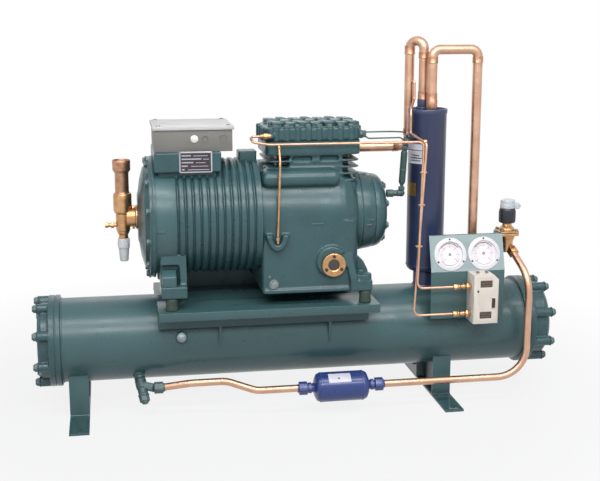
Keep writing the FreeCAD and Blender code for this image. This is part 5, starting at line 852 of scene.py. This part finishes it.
@dataclass
class TerminalBox:
    """The motor's terminal box with lid, entries and the plate on its boss."""

    nodes: Nodes

    def build(self) -> None:
        """Builds the box's pieces."""
        copied(self.nodes["terminal_box"], 0.8).deliver("box_body", Surface.BOX_POWDER, "terminal_box")
        lid, screws = Workpiece(), Workpiece()
        lid.block((-278, -104, 739), (-77, 84, 748), 1.6, 3)
        lid.block((-270, -96, 747), (-85, 76, 749.2), 1.0)
        lid.deliver("box_lid", Surface.LID_POWDER, "terminal_lid")
        for x in (-264.0, -91.0):
            for y in (-90.0, 70.0):
                screws.rod(5, 2.2, (x, y, 749), UP, 0.8, 20)
        screws.deliver("lid_screws", Surface.ZINC_PLATE)
        self.entries()
        self.plate()

    def entries(self) -> None:
        """One white entry plug and two pressed blanks with their rims."""
        white, grey = Workpiece(), Workpiece()
        row = (-100, 717)
        white.turned([(0, -1), (9.6, -1), (9.6, 1.6), (8.2, 2.6), (0, 3.2)], (-176, *row), FRONT, 0.0, 40)
        white.deliver("entry_plug", Surface.PLUG_PLASTIC, "knockout_plugs")
        for x, radius in ((-148.5, 8.5), (-103.0, 10.5)):
            grey.turned([(0, -1), (radius, -1), (radius, 1.2), (radius - 1.6, 1.2), (radius - 2.2, 0.4), (0, 0.4)],
                        (x, *row), FRONT, 0.2, 40)
        grey.deliver("entry_blanks", Surface.GREY_PLUG)

    def plate(self) -> None:
        """Rating plate with a pale frame, a dark field and plain bars."""
        base = Matrix.Translation((-174, -108.6, 660.5)) @ Matrix.Rotation(math.pi / 2, 4, "X")
        frame, field, bars, rivets = (Workpiece(base) for _ in range(4))
        frame.slab((-41, -26.5, 0), (41, 26.5, 1.0), 2.5, 0.3)
        frame.deliver("plate_frame", Surface.PLATE_SILVER)
        field.block((-37.5, -23, 0.8), (37.5, 23, 1.3), 0.0)
        field.deliver("plate_field", Surface.PLATE_DARK)
        rows = ((-12, -6, 30), (14, 18, 33), (-6, 0, 24), (-20, -12, 31), (-28, -20, 33))
        for row, (heading, start, end) in enumerate(rows):
            y = 15 - row * 8.6
            bars.block((-35, y, 1.1), (heading, y + 3.2, 1.7), 0.0)
            bars.block((start, y, 1.1), (end, y + 1.6, 1.7), 0.0)
        bars.deliver("plate_bars", Surface.PLATE_SILVER)
        for x in (-38.7, 38.7):
            for y in (-24.2, 24.2):
                rivets.ball(1.5, (x, y, 1.0), (1, 1, 0.6))
        rivets.deliver("plate_rivets", Surface.ZINC_PLATE)


@dataclass
class SuctionValve:
    """The suction service valve on the motor's end cover."""

    x: float = -355.5
    z: float = 507.0
    cover_x: float = -318.0

    def build(self) -> None:
        """Builds the valve's body, stub and cap."""
        x, z = self.x, self.z
        foot, port, mouth = (x, 0, z - 34), z - 19, (x, 0, z + 35)
        body, stub, cap = Workpiece(), Workpiece(), Workpiece()
        body.rod(18, 50, foot, UP, 2.5)
        body.turned([(0, 0), (17, 0), (21.5, 5), (23.4, 10), (23.4, 50), (22, 54), (18.5, 55.5), (0, 55.5)],
                    (x, 0, z + 9), UP, 0.8, 64)
        body.turned([(0, 0), (31, 0), (31, 5), (25.5, 6.5), (24.5, 28), (0, 34)], (self.cover_x, 0, z), LEFT, 1.0, 64)
        for offset in (-24.5, 24.5):
            body.hexagon(12, 6, (self.cover_x - 8, 0, z + offset), LEFT)
        body.turned([(0, 0), (17, 0), (14, 8), (12, 10), (12, 30), (0, 30)], foot, DOWN, 0.8, 48)
        body.rod(5.5, 45, (x, 0, port), LEFT, 0.6, 28)
        body.hexagon(15, 7, (x - 24, 0, port), LEFT)
        body.hexagon(13, 8, (x - 38, 0, port), LEFT)
        body.deliver("service_valve_body", Surface.BRASS, "suction_valve_body")
        stub.turned([(16, 0), (17.5, 0), (17.5, 80), (19.5, 84), (22.6, 88), (22.6, 106), (23.2, 107), (22.6, 114),
                     (21.1, 114), (21.1, 87), (18, 83), (16, 80)], mouth, UP, 0.4, 64, closed=True)
        stub.turned([(16.4, 27), (18.6, 27), (19.4, 29), (18.2, 32), (16.4, 32)], mouth, UP, 0.4, 48, closed=True)
        stub.deliver("suction_stub_tube", Surface.BRAZED_COPPER, "suction_stub")
        cap.turned([(12.3, 10), (15, 10), (15.6, 12), (15.2, 34), (13.4, 37), (11, 68), (9.6, 70), (0, 70), (0, 65),
                    (8, 65), (12.3, 35)], (x, 0, z - 44.5), DOWN, 0.5, 56)
        cap.deliver("service_valve_cap", Surface.WHITE_CAP, "suction_valve_cap", body="suction_cap")


@dataclass
class HotGas:
    """Discharge pipework, oil separator and the oil line back to the pump."""

    tank_x: float = 450.0
    inlet: tuple[float, float] = (440.5, 15.0)
    outlet: tuple[float, float] = (455.5, -16.0)
    drop_x: float = 578.0
    neck_z: float = 768.0
    port: tuple[float, float] = (-25.0, 704.0)
    pump_z: float = 560.0
    tube: float = 12.7

    def build(self) -> None:
        """Builds the hot gas and oil pieces."""
        self.discharge()
        self.separator()
        self.oil_line()

    def discharge(self) -> None:
        """Copper from the deck to the separator, and from it to the shell, with brazed sockets."""
        pipe, outlet, rings = Workpiece(), Workpiece(), Workpiece()
        depth, z, top, over, riser, foot = 45, 670.0, 949.0, 928, 410.0, self.neck_z + 20
        bend = math.hypot(self.inlet[0] - riser, depth - self.inlet[1]) / 2 * 0.98
        pipe.pipe([(251, depth, z), (riser, depth, z), (riser, depth, top), (*self.inlet, top), (*self.inlet, foot)],
                  [24, bend, bend], self.tube, 32)
        pipe.pipe([(248, depth, z), (368, depth, z)], [], 13.2, 32)
        pipe.rod(17, 5, (250, depth, z), RIGHT, 1.5, 32)
        pipe.deliver("discharge_tube", Surface.COPPER_TUBE, "discharge_pipe")
        outlet.pipe([(*self.outlet, foot), (*self.outlet, over), (self.drop_x, self.outlet[1], over),
                     (self.drop_x, self.outlet[1], 292)], [20, 20], self.tube, 32)
        outlet.deliver("outlet_tube", Surface.COPPER_TUBE, "separator_outlet_pipe")
        self.socket(rings, (366, depth, z), RIGHT, 16)
        for spot, height, length in (((riser, depth), 914, 22), (self.inlet, 905, 16), ((riser, depth), 700, 18),
                                     (self.inlet, foot + 6, 24), (self.outlet, 893, 17), (self.outlet, foot + 6, 22),
                                     ((self.drop_x, self.outlet[1]), 893, 17),
                                     ((self.drop_x, self.outlet[1]), 303, 12)):
            self.socket(rings, (*spot, height), UP, length)
        rings.deliver("brazed_sockets", Surface.BRAZED_COPPER)

    def socket(self, work: Workpiece, at: Point, way: Point, length: float) -> None:
        """Adds a brazed socket with a bead at its mouth."""
        radius = self.tube + 1.2
        work.turned([(radius - 2, 0), (radius, 0), (radius + 0.7, 1.2), (radius, 2.6), (radius, length - 1),
                     (radius - 0.8, length), (radius - 2, length)], at, way, 0.0, 36, closed=True)

    def separator(self) -> None:
        """Navy tank with rolled rim, necks, labels without wording and the leg on the shell."""
        tank, neck, bars = Workpiece(), Workpiece(), Workpiece()
        x = self.tank_x
        tank.turned([(0, 335), (30, 335.5), (42, 339), (48, 345), (50, 353), (50, 760), (51, 761.5), (51.6, 764),
                     (52, 772), (51, 774), (47.5, 774), (46.5, 770), (44, 768), (0, 768)], (x, 0, 0), UP, 0.0, 112)
        tank.rod(30, 60, (x, 0, 288), UP, 1.0, 64)
        tank.turned([(0, 0), (34, 0), (31, 4), (0, 4)], (x, 0, 296), UP, 0.0, 64)
        tank.rod(15.2, 30, (*self.inlet, self.neck_z), UP, 1.5, 40)
        tank.rod(18.5, 10, (*self.inlet, self.neck_z), UP, 1.5, 40)
        tank.rod(8, 56, (x, *self.port), LEFT, 1.0, 32)
        tank.turned([(47.5, 0), (50.8, 0.4), (51.2, 1.5), (50.8, 2.6), (47.5, 3)], (x, 0, 352), UP, 0.0, 112,
                    closed=True)
        tank.deliver("separator_tank", Surface.NAVY_ENAMEL, "oil_separator")
        neck.rod(14.8, 30, (*self.outlet, self.neck_z), UP, 1.5, 40)
        neck.deliver("separator_outlet_neck", Surface.BRAZED_COPPER)
        for name, heights, angles, surface in (
                ("separator_label", (632, 684), (-186, -112), Surface.LABEL_PAPER),
                ("separator_tag", (545, 580), (-186, -139), Surface.LABEL_GOLD)):
            label = Workpiece()
            self.wrap(label, heights, angles, 50.4)
            label.deliver(name, surface)
        for heights, angles in (((639, 641.5), (-158, -124)), ((646, 648.5), (-164, -120)),
                                ((653, 655.5), (-160, -130)), ((666.5, 668.5), (-186, -112))):
            self.wrap(bars, heights, angles, 50.7)
        bars.deliver("separator_label_bars", Surface.DIAL_INK)

    def wrap(self, work: Workpiece, heights: Point, angles: Point, radius: float) -> None:
        """Adds a thin curved patch on the tank; angles are from +X, seen from above."""
        work.patch(Matrix.Translation((self.tank_x, 0, 0)), (49.6, radius), heights, angles, 14)

    def oil_line(self) -> None:
        """Dark elbow, strainer and fittings of the oil return."""
        work = Workpiece()
        row = (-60.0, self.pump_z)
        low, high = Vector((365, *row)), Vector((374, row[0], self.port[1]))
        axis = (high - low).normalized()
        work.pipe([(326.3, *row), low, high], [9], 4.2, 20)
        work.pipe([high - Vector((0.6, 0, 9)), high, (384, *self.port), (398, *self.port)], [8, 6], 4.0, 20)
        work.rod(10, 9, (326, *row), RIGHT, 1.0, 32)
        work.ball(9.5, low)
        work.rod(8.5, 12, low, LEFT, 1.0, 28)
        work.turned([(0, 0), (5, 0), (8.7, 7), (8.7, 84), (8.2, 86), (5, 92), (0, 92)], low + axis * 22, axis, 0.6, 40)
        work.turned([(8, 0), (9.4, 0.6), (9.4, 3.4), (8, 4)], low + axis * 60, axis, 0.0, 40, closed=True)
        for flats, length, at, way in ((19, 9, (334, *row), RIGHT), (15, 8, (344, *row), RIGHT),
                                       (15, 9, low + axis * 8, axis), (16, 10, low + axis * 113, axis),
                                       (14, 9, low + axis * 127, axis), (14, 8, (388, *self.port), RIGHT)):
            work.hexagon(flats, length, at, way)
        work.deliver("oil_return_fittings", Surface.OIL_LINE, "oil_return_line")


@dataclass
class Instruments:
    """Gauge panel, two gauges, the pressure switch and the thin tubes to it."""

    nodes: Nodes
    slope: float = math.radians(18)
    panel_y: float = -130.0
    bend_z: float = 359.0
    up_face: float = 45.5
    print_depth: float = -2.5
    switch_front: float = -188.0
    port_y: float = -160.0
    ports_z: tuple[float, float] = (326.0, 254.0)

    def build(self) -> None:
        """Builds the instrument pieces."""
        copied(self.nodes["gauge_panel"], 0.7).deliver("panel_sheet", Surface.PANEL_ENAMEL, "gauge_panel")
        self.gauge_plate()
        self.gauge("left", 486.0, "gauge_cases")
        self.gauge("right", 578.0)
        self.switch()
        self.tubes()
        self.flares()

    def gauge_plate(self) -> None:
        """Paler skin on the panel's sloped face, with its holes for the gauges."""
        skin = copied(self.nodes["gauge_panel"], 0.0)
        out = Vector((0, -math.cos(self.slope), math.sin(self.slope)))
        skin.mesh.normal_update()
        others = [face for face in skin.mesh.faces if face.normal.dot(out) < 0.999]
        bmesh.ops.delete(skin.mesh, geom=others, context="FACES")
        bmesh.ops.translate(skin.mesh, vec=out * 0.4, verts=skin.mesh.verts)
        bmesh.ops.solidify(skin.mesh, geom=list(skin.mesh.faces), thickness=0.4)
        skin.deliver("panel_gauge_plate", Surface.PLATE_ENAMEL)

    def gauge(self, side: str, x: float, *replaces: str) -> None:
        """A flanged gauge on the panel's slope: bezel, dial with scale and numbers, screws."""
        at = (x, self.panel_y + self.up_face * math.sin(self.slope), self.bend_z + self.up_face * math.cos(self.slope))
        # Local Y goes up the sloped face and local Z out of it.
        base = Matrix.Translation(at) @ Matrix.Rotation(math.pi / 2 - self.slope, 4, "X")
        case, dial, ink, screws = (Workpiece(base) for _ in range(4))
        case.turned([(0, -36), (35, -36), (37, -34), (37, 0), (44, 0), (44, 1.6), (42.6, 3), (36, 3.2), (34.6, 4),
                     (33.6, 3.2), (33.6, -3.6), (0, -3.6)], (0, 0, 0), UP, 0.3, 96)
        case.rod(7, 12, (0, 0, -48), UP, 0.6, 24)
        case.deliver(f"{side}_gauge_case", Surface.GAUGE_WHITE, *replaces)
        dial.rod(33.4, 1.2, (0, 0, -3.8), UP, 0.0, 72)
        dial.deliver(f"{side}_gauge_dial", Surface.DIAL_CARD)
        for tick in range(31):
            inner, width = (24.6, 0.22) if tick % 5 else (22.5, 0.45)
            self.stroke(ink, 225 - 9 * tick, inner, 28, width)
        for start, radius, width, sweep in ((36, 29, 0.9, 108), (215, 29, 0.5, 110), (-45, 22, 0.25, 270)):
            self.arc(ink, start, sweep, radius, width)
        ink.deliver(f"{side}_gauge_scale", Surface.DIAL_INK)
        self.numbers(base, side)
        for angle in (90, 210, 330):
            screws.rod(2.6, 1.6, polar(39.3, angle, 2.8), UP, 0.4, 20)
        screws.deliver(f"{side}_gauge_screws", Surface.DARK_KNOB)

    def stroke(self, work: Workpiece, angle: float, inner: float, outer: float, width: float) -> None:
        """Prints a thin radial line on a dial."""
        across = polar(1, angle).cross(Vector(UP)) * width
        start, end = polar(inner, angle, self.print_depth), polar(outer, angle, self.print_depth)
        work.mesh.faces.new([work.mesh.verts.new(p) for p in (start - across, end - across, end + across,
                                                              start + across)])

    def arc(self, work: Workpiece, start: float, sweep: float, radius: float, width: float) -> None:
        """Prints an arc on a dial."""
        verts = [work.mesh.verts.new(polar(r, start, self.print_depth)) for r in (radius - width, radius + width)]
        edge = work.mesh.edges.new(verts)
        bmesh.ops.spin(work.mesh, geom=[*verts, edge], cent=(0, 0, self.print_depth), axis=UP, dvec=(0, 0, 0),
                       angle=math.radians(sweep), steps=40)

    def numbers(self, base: Matrix, side: str) -> None:
        """Prints plain scale numbers on a dial."""
        work = Workpiece(base)
        for step in range(7):
            curve = bpy.data.curves.new("digits", "FONT")
            curve.body = str(step * 5)
            curve.size, curve.align_x, curve.align_y = 4.2, "CENTER", "CENTER"
            flat = evaluated(placed("digits", curve))
            flat.transform(Matrix.Translation(polar(18.2, 225 - 45 * step, self.print_depth)))
            work.mesh.from_mesh(flat)
            bpy.data.curves.remove(curve)
            bpy.data.meshes.remove(flat)
        work.deliver(f"{side}_gauge_numbers", Surface.DIAL_INK)

    def switch(self) -> None:
        """Cream pressure switch with scale windows, reset button rim and screws."""
        copied(self.nodes["switch_housing"], 1.6).deliver("switch_cover", Surface.CREAM_PLASTIC, "switch_housing")
        front = self.switch_front
        window, marks, rim, screw = Workpiece(), Workpiece(), Workpiece(), Workpiece()
        for low in (245.0, 328.0):
            window.block((547, front + 0.4, low), (579, front + 1.6, low + 18), 0.3)
            for line in range(9):
                x, end = 550.5 + line * 3.2, low + (12.5 if line % 4 else 15)
                marks.block((x, front + 0.1, low + 9), (x + 0.5, front + 0.5, end), 0.0)
            marks.block((550, front + 0.1, low + 4), (576, front + 0.5, low + 4.8), 0.0)
        window.deliver("switch_windows", Surface.DARK_WINDOW)
        marks.deliver("switch_scale_marks", Surface.LABEL_GOLD)
        left, right, low, high = 577.6, 588.4, 272, 300
        for start, end in (((left, low), (left + 1.4, high)), ((right - 1.4, low), (right, high)),
                           ((left, low), (right, low + 1.3)), ((left, high - 1.3), (right, high))):
            rim.block((start[0], front - 0.6, start[1]), (end[0], front + 0.6, end[1]), 0.2)
        rim.deliver("switch_button_rim", Surface.CREAM_PLASTIC)
        screw.rod(3.0, 1.6, (541, front + 0.4, 318), FRONT, 0.5, 24)
        screw.deliver("switch_screw", Surface.DARK_KNOB)

    def tubes(self) -> None:
        """Thin copper tubes: the front run, the taps and the pair down to the switch."""
        work, branch, dark, clips = Workpiece(), Workpiece(), Workpiece(), Workpiece()
        tube, slim = 3.2, 1.92
        y, (upper_z, lower_z) = self.port_y, self.ports_z
        upper = [(-6, -88, 719), (-36, -91, 718), (-31, -110, 707), (8, -110, 700), (410, -110, 699),
                 (386, y, upper_z), (482, y, upper_z)]
        lower = [(413, 33, 838), (418, 22, 853), (418, 20, 797), (397.5, -25, 777), (395, -34, 760),
                 (395, -34, 713), (415, -117, 696), (378, y, lower_z), (482, y, lower_z)]
        work.pipe(upper, [8, 8, 20, 14, 16], tube, 16)
        work.pipe(lower, [5, 8, 12, 8, 8, 12, 16], tube, 16)
        work.deliver("thin_copper_tubes", Surface.COPPER_TUBE, "gauge_lines")
        tap = (26, -142.5)
        branch.pipe([(34, -111.9, 697), (34, -132.7, 657), (*tap, 470)], [60], tube, 16)
        branch.hexagon(9, 8, (*tap, 461))
        branch.rod(3.8, 9, (*tap, 453), UP, 0.5, 24)
        branch.deliver("crankcase_tap_tube", Surface.BRASS)
        dark.pipe([(264, -60, 721.6), (336, -60, 721.8), (400, 38, 708)], [40], slim, 12)
        dark.pipe([(264, -60, 712.4), (276, -60, 705), (360, -60, 705.4), (374, -52, 697)], [8, 8], slim, 12)
        dark.deliver("thin_steel_tubes", Surface.OIL_LINE)
        for share in (0.2, 0.42, 0.7):
            high = Vector(upper[4]).lerp(Vector(upper[5]), share)
            low = Vector(lower[6]).lerp(Vector(lower[7]), share * 0.86)
            clips.block(*box_round((high + low) / 2, (8.5, 4.5, 2.5)), 1.5)
        clips.hexagon(11, 9, (407.5, -111, 699), RIGHT)
        clips.hexagon(9, 7, (34, -115, 694), DOWN)
        clips.deliver("tube_clips", Surface.BRASS)

    def flares(self) -> None:
        """Flare nuts at the switch."""
        work = Workpiece()
        for z in self.ports_z:
            work.hexagon(14, 12, (483, self.port_y, z), RIGHT)
            work.turned([(0, 0), (5.6, 0), (7.6, 3), (5, 6), (5, 12), (7.8, 16), (5.6, 19), (5.6, 24), (0, 24)],
                        (495, self.port_y, z), RIGHT, 0.3, 28)
            work.hexagon(18, 8, (517, self.port_y, z), RIGHT)
            work.rod(7, 8, (523, self.port_y, z), RIGHT, 0.5, 24)
        work.deliver("flare_nuts", Surface.BRASS, "flare_fittings")


@dataclass
class LiquidSide:
    """Solenoid valve, liquid line, filter drier and the stop valve under the shell."""

    valve: tuple[float, float] = (660.0, -58.0)
    tube: float = 9.5
    y: float = -150.0
    z: float = 70.0
    run_x: float = 694.0
    nut: tuple[float, float, float] = (-292.0, -110.0, 80.0)
    stop_x: float = -329.0
    stop_radius: float = 107.0

    def build(self) -> None:
        """Builds the liquid side's pieces."""
        self.solenoid()
        self.line()
        self.drier()
        self.stop_valve()

    def solenoid(self) -> None:
        """Brass valve body with bolted bonnet plate, coil with its milky plug."""
        x, y = self.valve
        bonnet = 451
        body, screws, coil, plug = Workpiece(), Workpiece(), Workpiece(), Workpiece()
        body.turned([(0, 0), (15, 0), (16, 3), (18, 30), (22, 40), (22, 46), (0, 46)], (x, y, 392), UP, 1.0, 48)
        for low, high in ((438, 445), (446, bonnet)):
            body.slab((x - 27, y - 27, low), (x + 27, y + 27, high), 7, 1.0)
        body.turned([(0, 0), (22, 0), (20, 6), (13, 12), (12, 21), (0, 21)], (x, y, bonnet), UP, 0.8, 48)
        body.rod(11, 28, (632, y, 414), RIGHT, 0.8, 32)
        body.rod(12, 34, (x, y, 410), BACK, 0.8, 32)
        body.deliver("solenoid_brass", Surface.BRASS, "solenoid_valve_body")
        for dx in (-20, 20):
            for dy in (-20, 20):
                screws.rod(4.4, 5, (x + dx, y + dy, bonnet), UP, 0.7, 20)
        screws.deliver("solenoid_screws", Surface.ZINC_PLATE)
        coil.turned([(0, 0), (20, 0), (22, 2), (22, 34), (20, 37), (19, 40), (0, 40)], (x, y, 471.5), UP, 0.8, 64)
        for angle in range(0, 360, 20):
            coil.block(*box_round(Vector((x, y, 489.5)) + polar(21.4, angle), (0.9, 0.9, 12.5)), 0.3)
        coil.deliver("solenoid_coil_body", Surface.COIL_BLACK, "solenoid_coil")
        plug.turned([(0, 0), (19.5, 0), (20, 2), (20, 9), (19, 11), (19, 20), (18, 22), (0, 22)], (x, y, 511), UP,
                    0.6, 56)
        plug.block((x + 12, y - 8, 508), (x + 31, y + 8, 524), 2.0)
        plug.rod(5, 4, (x + 31, y, 516), RIGHT, 0.6, 20)
        plug.deliver("solenoid_plug", Surface.CLEAR_CAP)

    def line(self) -> None:
        """Liquid pipe from the solenoid down to the drier, and on to the stop valve."""
        work, nuts = Workpiece(), Workpiece()
        mouth, corner = Vector((673, -75, 394)), Vector((self.run_x, self.y, 337))
        work.pipe([mouth, corner, (self.run_x, self.y, self.z), (302, self.y, self.z)], [90, 78], self.tube, 28)
        work.pipe([(77, self.y, 71), (-33, self.y, 71), (-108, -130, 94), (-200, -130, 94), (-258, -112, 82),
                   (-270, -110, 80)], [60, 60, 60, 30], self.tube, 28)
        work.deliver("liquid_tubes", Surface.COPPER_TUBE, "liquid_line")
        way = (corner - mouth).normalized()
        nuts.rod(11, 20, mouth - way * 18, way, 1.0, 28)
        nuts.hexagon(27, 17, mouth - way * 9, way)
        nuts.deliver("liquid_flare_nut", Surface.BRASS)

    def drier(self) -> None:
        """Blue filter drier with rolled shoulders, flare ends and a bare label."""
        shell = Workpiece()
        shell.turned([(0, 74), (11, 74), (11, 112), (13, 117), (24, 119), (34, 124), (37.5, 131), (38.5, 136),
                      (38.5, 243), (37.5, 248), (34, 255), (24, 260), (13, 262), (11, 267), (11, 305), (0, 305)],
                     (0, self.y, self.z), RIGHT, 0.5, 96)
        for x in (134.0, 244.0):
            shell.turned([(37, -1.6), (39.1, -1), (39.1, 1), (37, 1.6)], (x, self.y, self.z), RIGHT, 0.0, 96,
                         closed=True)
        for x, flats, length, ease in ((78, 31, 22, 1.2), (279, 31, 22, 1.2), (102, 25, 9, 1.0), (267, 25, 9, 1.0)):
            shell.hexagon(flats, length, (x, self.y, self.z), RIGHT, ease)
        shell.deliver("drier_shell", Surface.BLUE_ENAMEL, "filter_drier")
        # Local X, Y and Z of the patches are the part's Y, Z and X.
        axis = Matrix(((0, 0, 1, 0), (1, 0, 0, self.y), (0, 1, 0, self.z), (0, 0, 0, 1)))
        for name, radius, heights, angles, surface in (
                ("drier_label", 38.9, (152, 210), (104, 146), Surface.LABEL_PAPER),
                ("drier_label_mark", 39.1, (176, 181), (126, 132), Surface.DIAL_INK)):
            label = Workpiece()
            label.patch(axis, (38.2, radius), heights, angles, 12)
            label.deliver(name, surface)

    def stop_valve(self) -> None:
        """Angled stop valve with its gland, outlet nut and cap."""
        lean, drop = math.radians(9.5), math.radians(50)
        axis = Vector((math.sin(lean), -math.cos(drop) * math.cos(lean), -math.sin(drop) * math.cos(lean)))
        start = Vector((self.stop_x, 0, Condenser.axis_z)) + Vector((0, axis.y, axis.z)) * self.stop_radius
        work, cap = Workpiece(), Workpiece()
        work.turned([(0, -4), (17, -4), (16, 5), (12, 8), (12, 16), (14.5, 18), (14.5, 40), (12.5, 43), (12.5, 58),
                     (0, 58)], start, axis, 0.8, 48)
        work.turned([(11, 0), (14.2, 0.6), (14.2, 4), (11, 4.6)], start + axis * 10, axis, 0.3, 48, closed=True)
        nut = Vector(self.nut)
        work.pipe([start + axis * 32, nut], [], 11, 28)
        work.hexagon(27, 23, nut, RIGHT, 1.2)
        work.rod(12, 6, nut + Vector((22, 0, 0)), RIGHT, 1.0, 28, 10.5)
        work.deliver("stop_valve_body", Surface.VALVE_ENAMEL, "liquid_valve")
        end = start + axis * 58.5
        cap.rod(14.2, 5, end, axis, 0.8, 40)
        cap.hexagon(23.5, 16, end + axis * 4, axis, 1.2)
        cap.rod(9.5, 6, end + axis * 19.5, axis, 2.0, 32, 8.0)
        cap.deliver("stop_valve_cap", Surface.VALVE_ENAMEL, "liquid_valve_cap", body="liquid_cap")


@dataclass
class Studio:
    """Camera, lamps, pale floor and the sky round the unit, in metres and degrees."""

    lens_mm: float = 66.56
    stand: tuple[float, float, float] = (-0.3849, -2.841, 1.0416)
    look_down: float = 11.99
    look_right: float = 9.82
    floor_width: float = 18.0
    floor_top: float = -0.0002
    floor_depth: float = 0.0198
    shadow_radius: float = 0.7
    backdrop_radius: float = 1.5

    def build(self) -> None:
        """Sets the whole studio."""
        self.camera()
        self.lamps()
        self.sky()
        self.floor()
        bpy.context.scene.view_settings.view_transform = "Standard"

    def camera(self) -> None:
        """Camera at the photograph's place and angle."""
        view = bpy.data.cameras.new("view")
        view.lens, view.sensor_width, view.clip_end = self.lens_mm, 36.0, 100
        holder = placed("view", view)
        holder.location = self.stand
        holder.rotation_euler = (math.radians(90 - self.look_down), 0, math.radians(-self.look_right))
        bpy.context.scene.camera = holder

    def lamps(self) -> None:
        """Two strips above the front for the highlights on the shell and motor, and a soft key, fill and back lamp."""
        target = Vector((0.1, 0, 0.4))
        for name, place, size, power in (("overhead", (0.0, -1.35, 2.6), (3.6, 0.36), 46.0),
                                         ("upper", (0.0, -2.45, 2.1), (3.6, 0.36), 50.0),
                                         ("key", (-3.2, -2.6, 1.9), (2.2, 2.2), 7.0),
                                         ("fill", (3.4, -3.0, 1.4), (2.6, 2.2), 4.0),
                                         ("back", (0.6, 3.2, 2.4), (3.0, 1.6), 12.0)):
            light = bpy.data.lights.new(name, "AREA")
            light.shape, light.size, light.size_y, light.energy = "RECTANGLE", *size, power
            holder = placed(name, light)
            holder.location = place
            holder.rotation_euler = (target - Vector(place)).to_track_quat("-Z", "Y").to_euler()

    def sky(self) -> None:
        """Even pale world, plain white to the camera and in reflections."""
        world = bpy.data.worlds.new("white_room")
        world.use_nodes = True
        bpy.context.scene.world = world
        tree = world.node_tree
        ground = tree.nodes["Background"]
        ground.inputs["Color"].default_value = (0.9, 0.95, 1.0, 1.0)
        ground.inputs["Strength"].default_value = 0.17
        plain = add(tree, "Background", {"Color": WHITE, "Strength": 1.0})
        mix = add(tree, "MixShader", {0: self.direct(tree), 1: ground.outputs[0], 2: plain.outputs[0]})
        tree.links.new(mix.outputs[0], tree.nodes["World Output"].inputs["Surface"])

    def direct(self, tree: Tree) -> Socket:
        """One for camera, glossy and transmission rays, nought for the light that lands on the unit."""
        seen = add(tree, "LightPath").outputs
        either = add(tree, "Math", {0: seen["Is Camera Ray"], 1: seen["Is Glossy Ray"]}, operation="MAXIMUM")
        return add(tree, "Math", {0: either.outputs[0], 1: seen["Is Transmission Ray"]},
                   operation="MAXIMUM").outputs[0]

    def floor(self) -> None:
        """White floor that keeps the unit's shadow near it and runs into the backdrop further off."""
        mesh = bmesh.new()
        seat = Matrix.Translation((0, 0, self.floor_top - self.floor_depth / 2))
        size = Matrix.Diagonal((self.floor_width, self.floor_width, self.floor_depth, 1.0))
        bmesh.ops.create_cube(mesh, size=1.0, matrix=seat @ size)
        data = bpy.data.meshes.new("floor")
        mesh.to_mesh(data)
        mesh.free()
        paint = bpy.data.materials.new("pale_floor")
        paint.use_nodes = True
        tree = paint.node_tree
        shader = tree.nodes["Principled BSDF"]
        shader.inputs["Base Color"].default_value = (0.42, 0.43, 0.44, 1.0)
        shader.inputs["Roughness"].default_value = 0.8
        glow = add(tree, "Emission", {"Color": WHITE, "Strength": 1.0})
        place = add(tree, "TexCoord").outputs["Object"]
        away = add(tree, "VectorMath", {0: place}, operation="LENGTH").outputs["Value"]
        share = add(tree, "MapRange", {"Value": away, "From Min": self.shadow_radius,
                                     "From Max": self.backdrop_radius, "To Min": 0.85})
        white = add(tree, "Math", {0: share.outputs[0], 1: self.direct(tree)}, operation="MULTIPLY")
        mix = add(tree, "MixShader", {0: white.outputs[0], 1: shader.outputs[0], 2: glow.outputs[0]})
        tree.links.new(mix.outputs[0], tree.nodes["Material Output"].inputs["Surface"])
        data.materials.append(paint)
        holder = placed("floor", data)


def dress_kept(nodes: Nodes) -> None:
    """Gives the CAD nodes that stay in view their finishes."""
    kept = {
        Surface.MACHINED: ("tube_bundle", "crankshaft", "suction_spindle", "separator_float", "switch_spindle_low",
                           "switch_spindle_high", "solenoid_plunger"),
        Surface.BRONZE: ("main_bearings",), Surface.LAMINATION: ("stator", "rotor"),
        Surface.BOARD: ("terminal_board",), Surface.BRASS: ("suction_disc",),
        Surface.CLEAR_GLASS: ("gauge_glasses",), Surface.NEEDLE: ("gauge_needle_left", "gauge_needle_right"),
        Surface.DARK_KNOB: ("switch_reset_button",),
    }
    for surface, names in kept.items():
        for name in names:
            data = nodes[name].data
            data.materials.clear()
            data.materials.append(surface.value.material())
            LOG.info("%s: CAD node in %s", name, surface.value.name)


def main() -> None:
    """Builds the unit round the frame and writes how large it came out."""
    logging.basicConfig(level=logging.INFO, format="%(name)s: %(message)s")
    for thing in list(bpy.data.objects):
        bpy.data.objects.remove(thing)
    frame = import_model()
    nodes = frame["nodes"]
    for part in (Studio(), Condenser(nodes), Compressor(), TerminalBox(nodes), SuctionValve(), HotGas(),
                 Instruments(nodes), LiquidSide()):
        part.build()
    dress_kept(nodes)


if __name__ == "__main__":
    main()
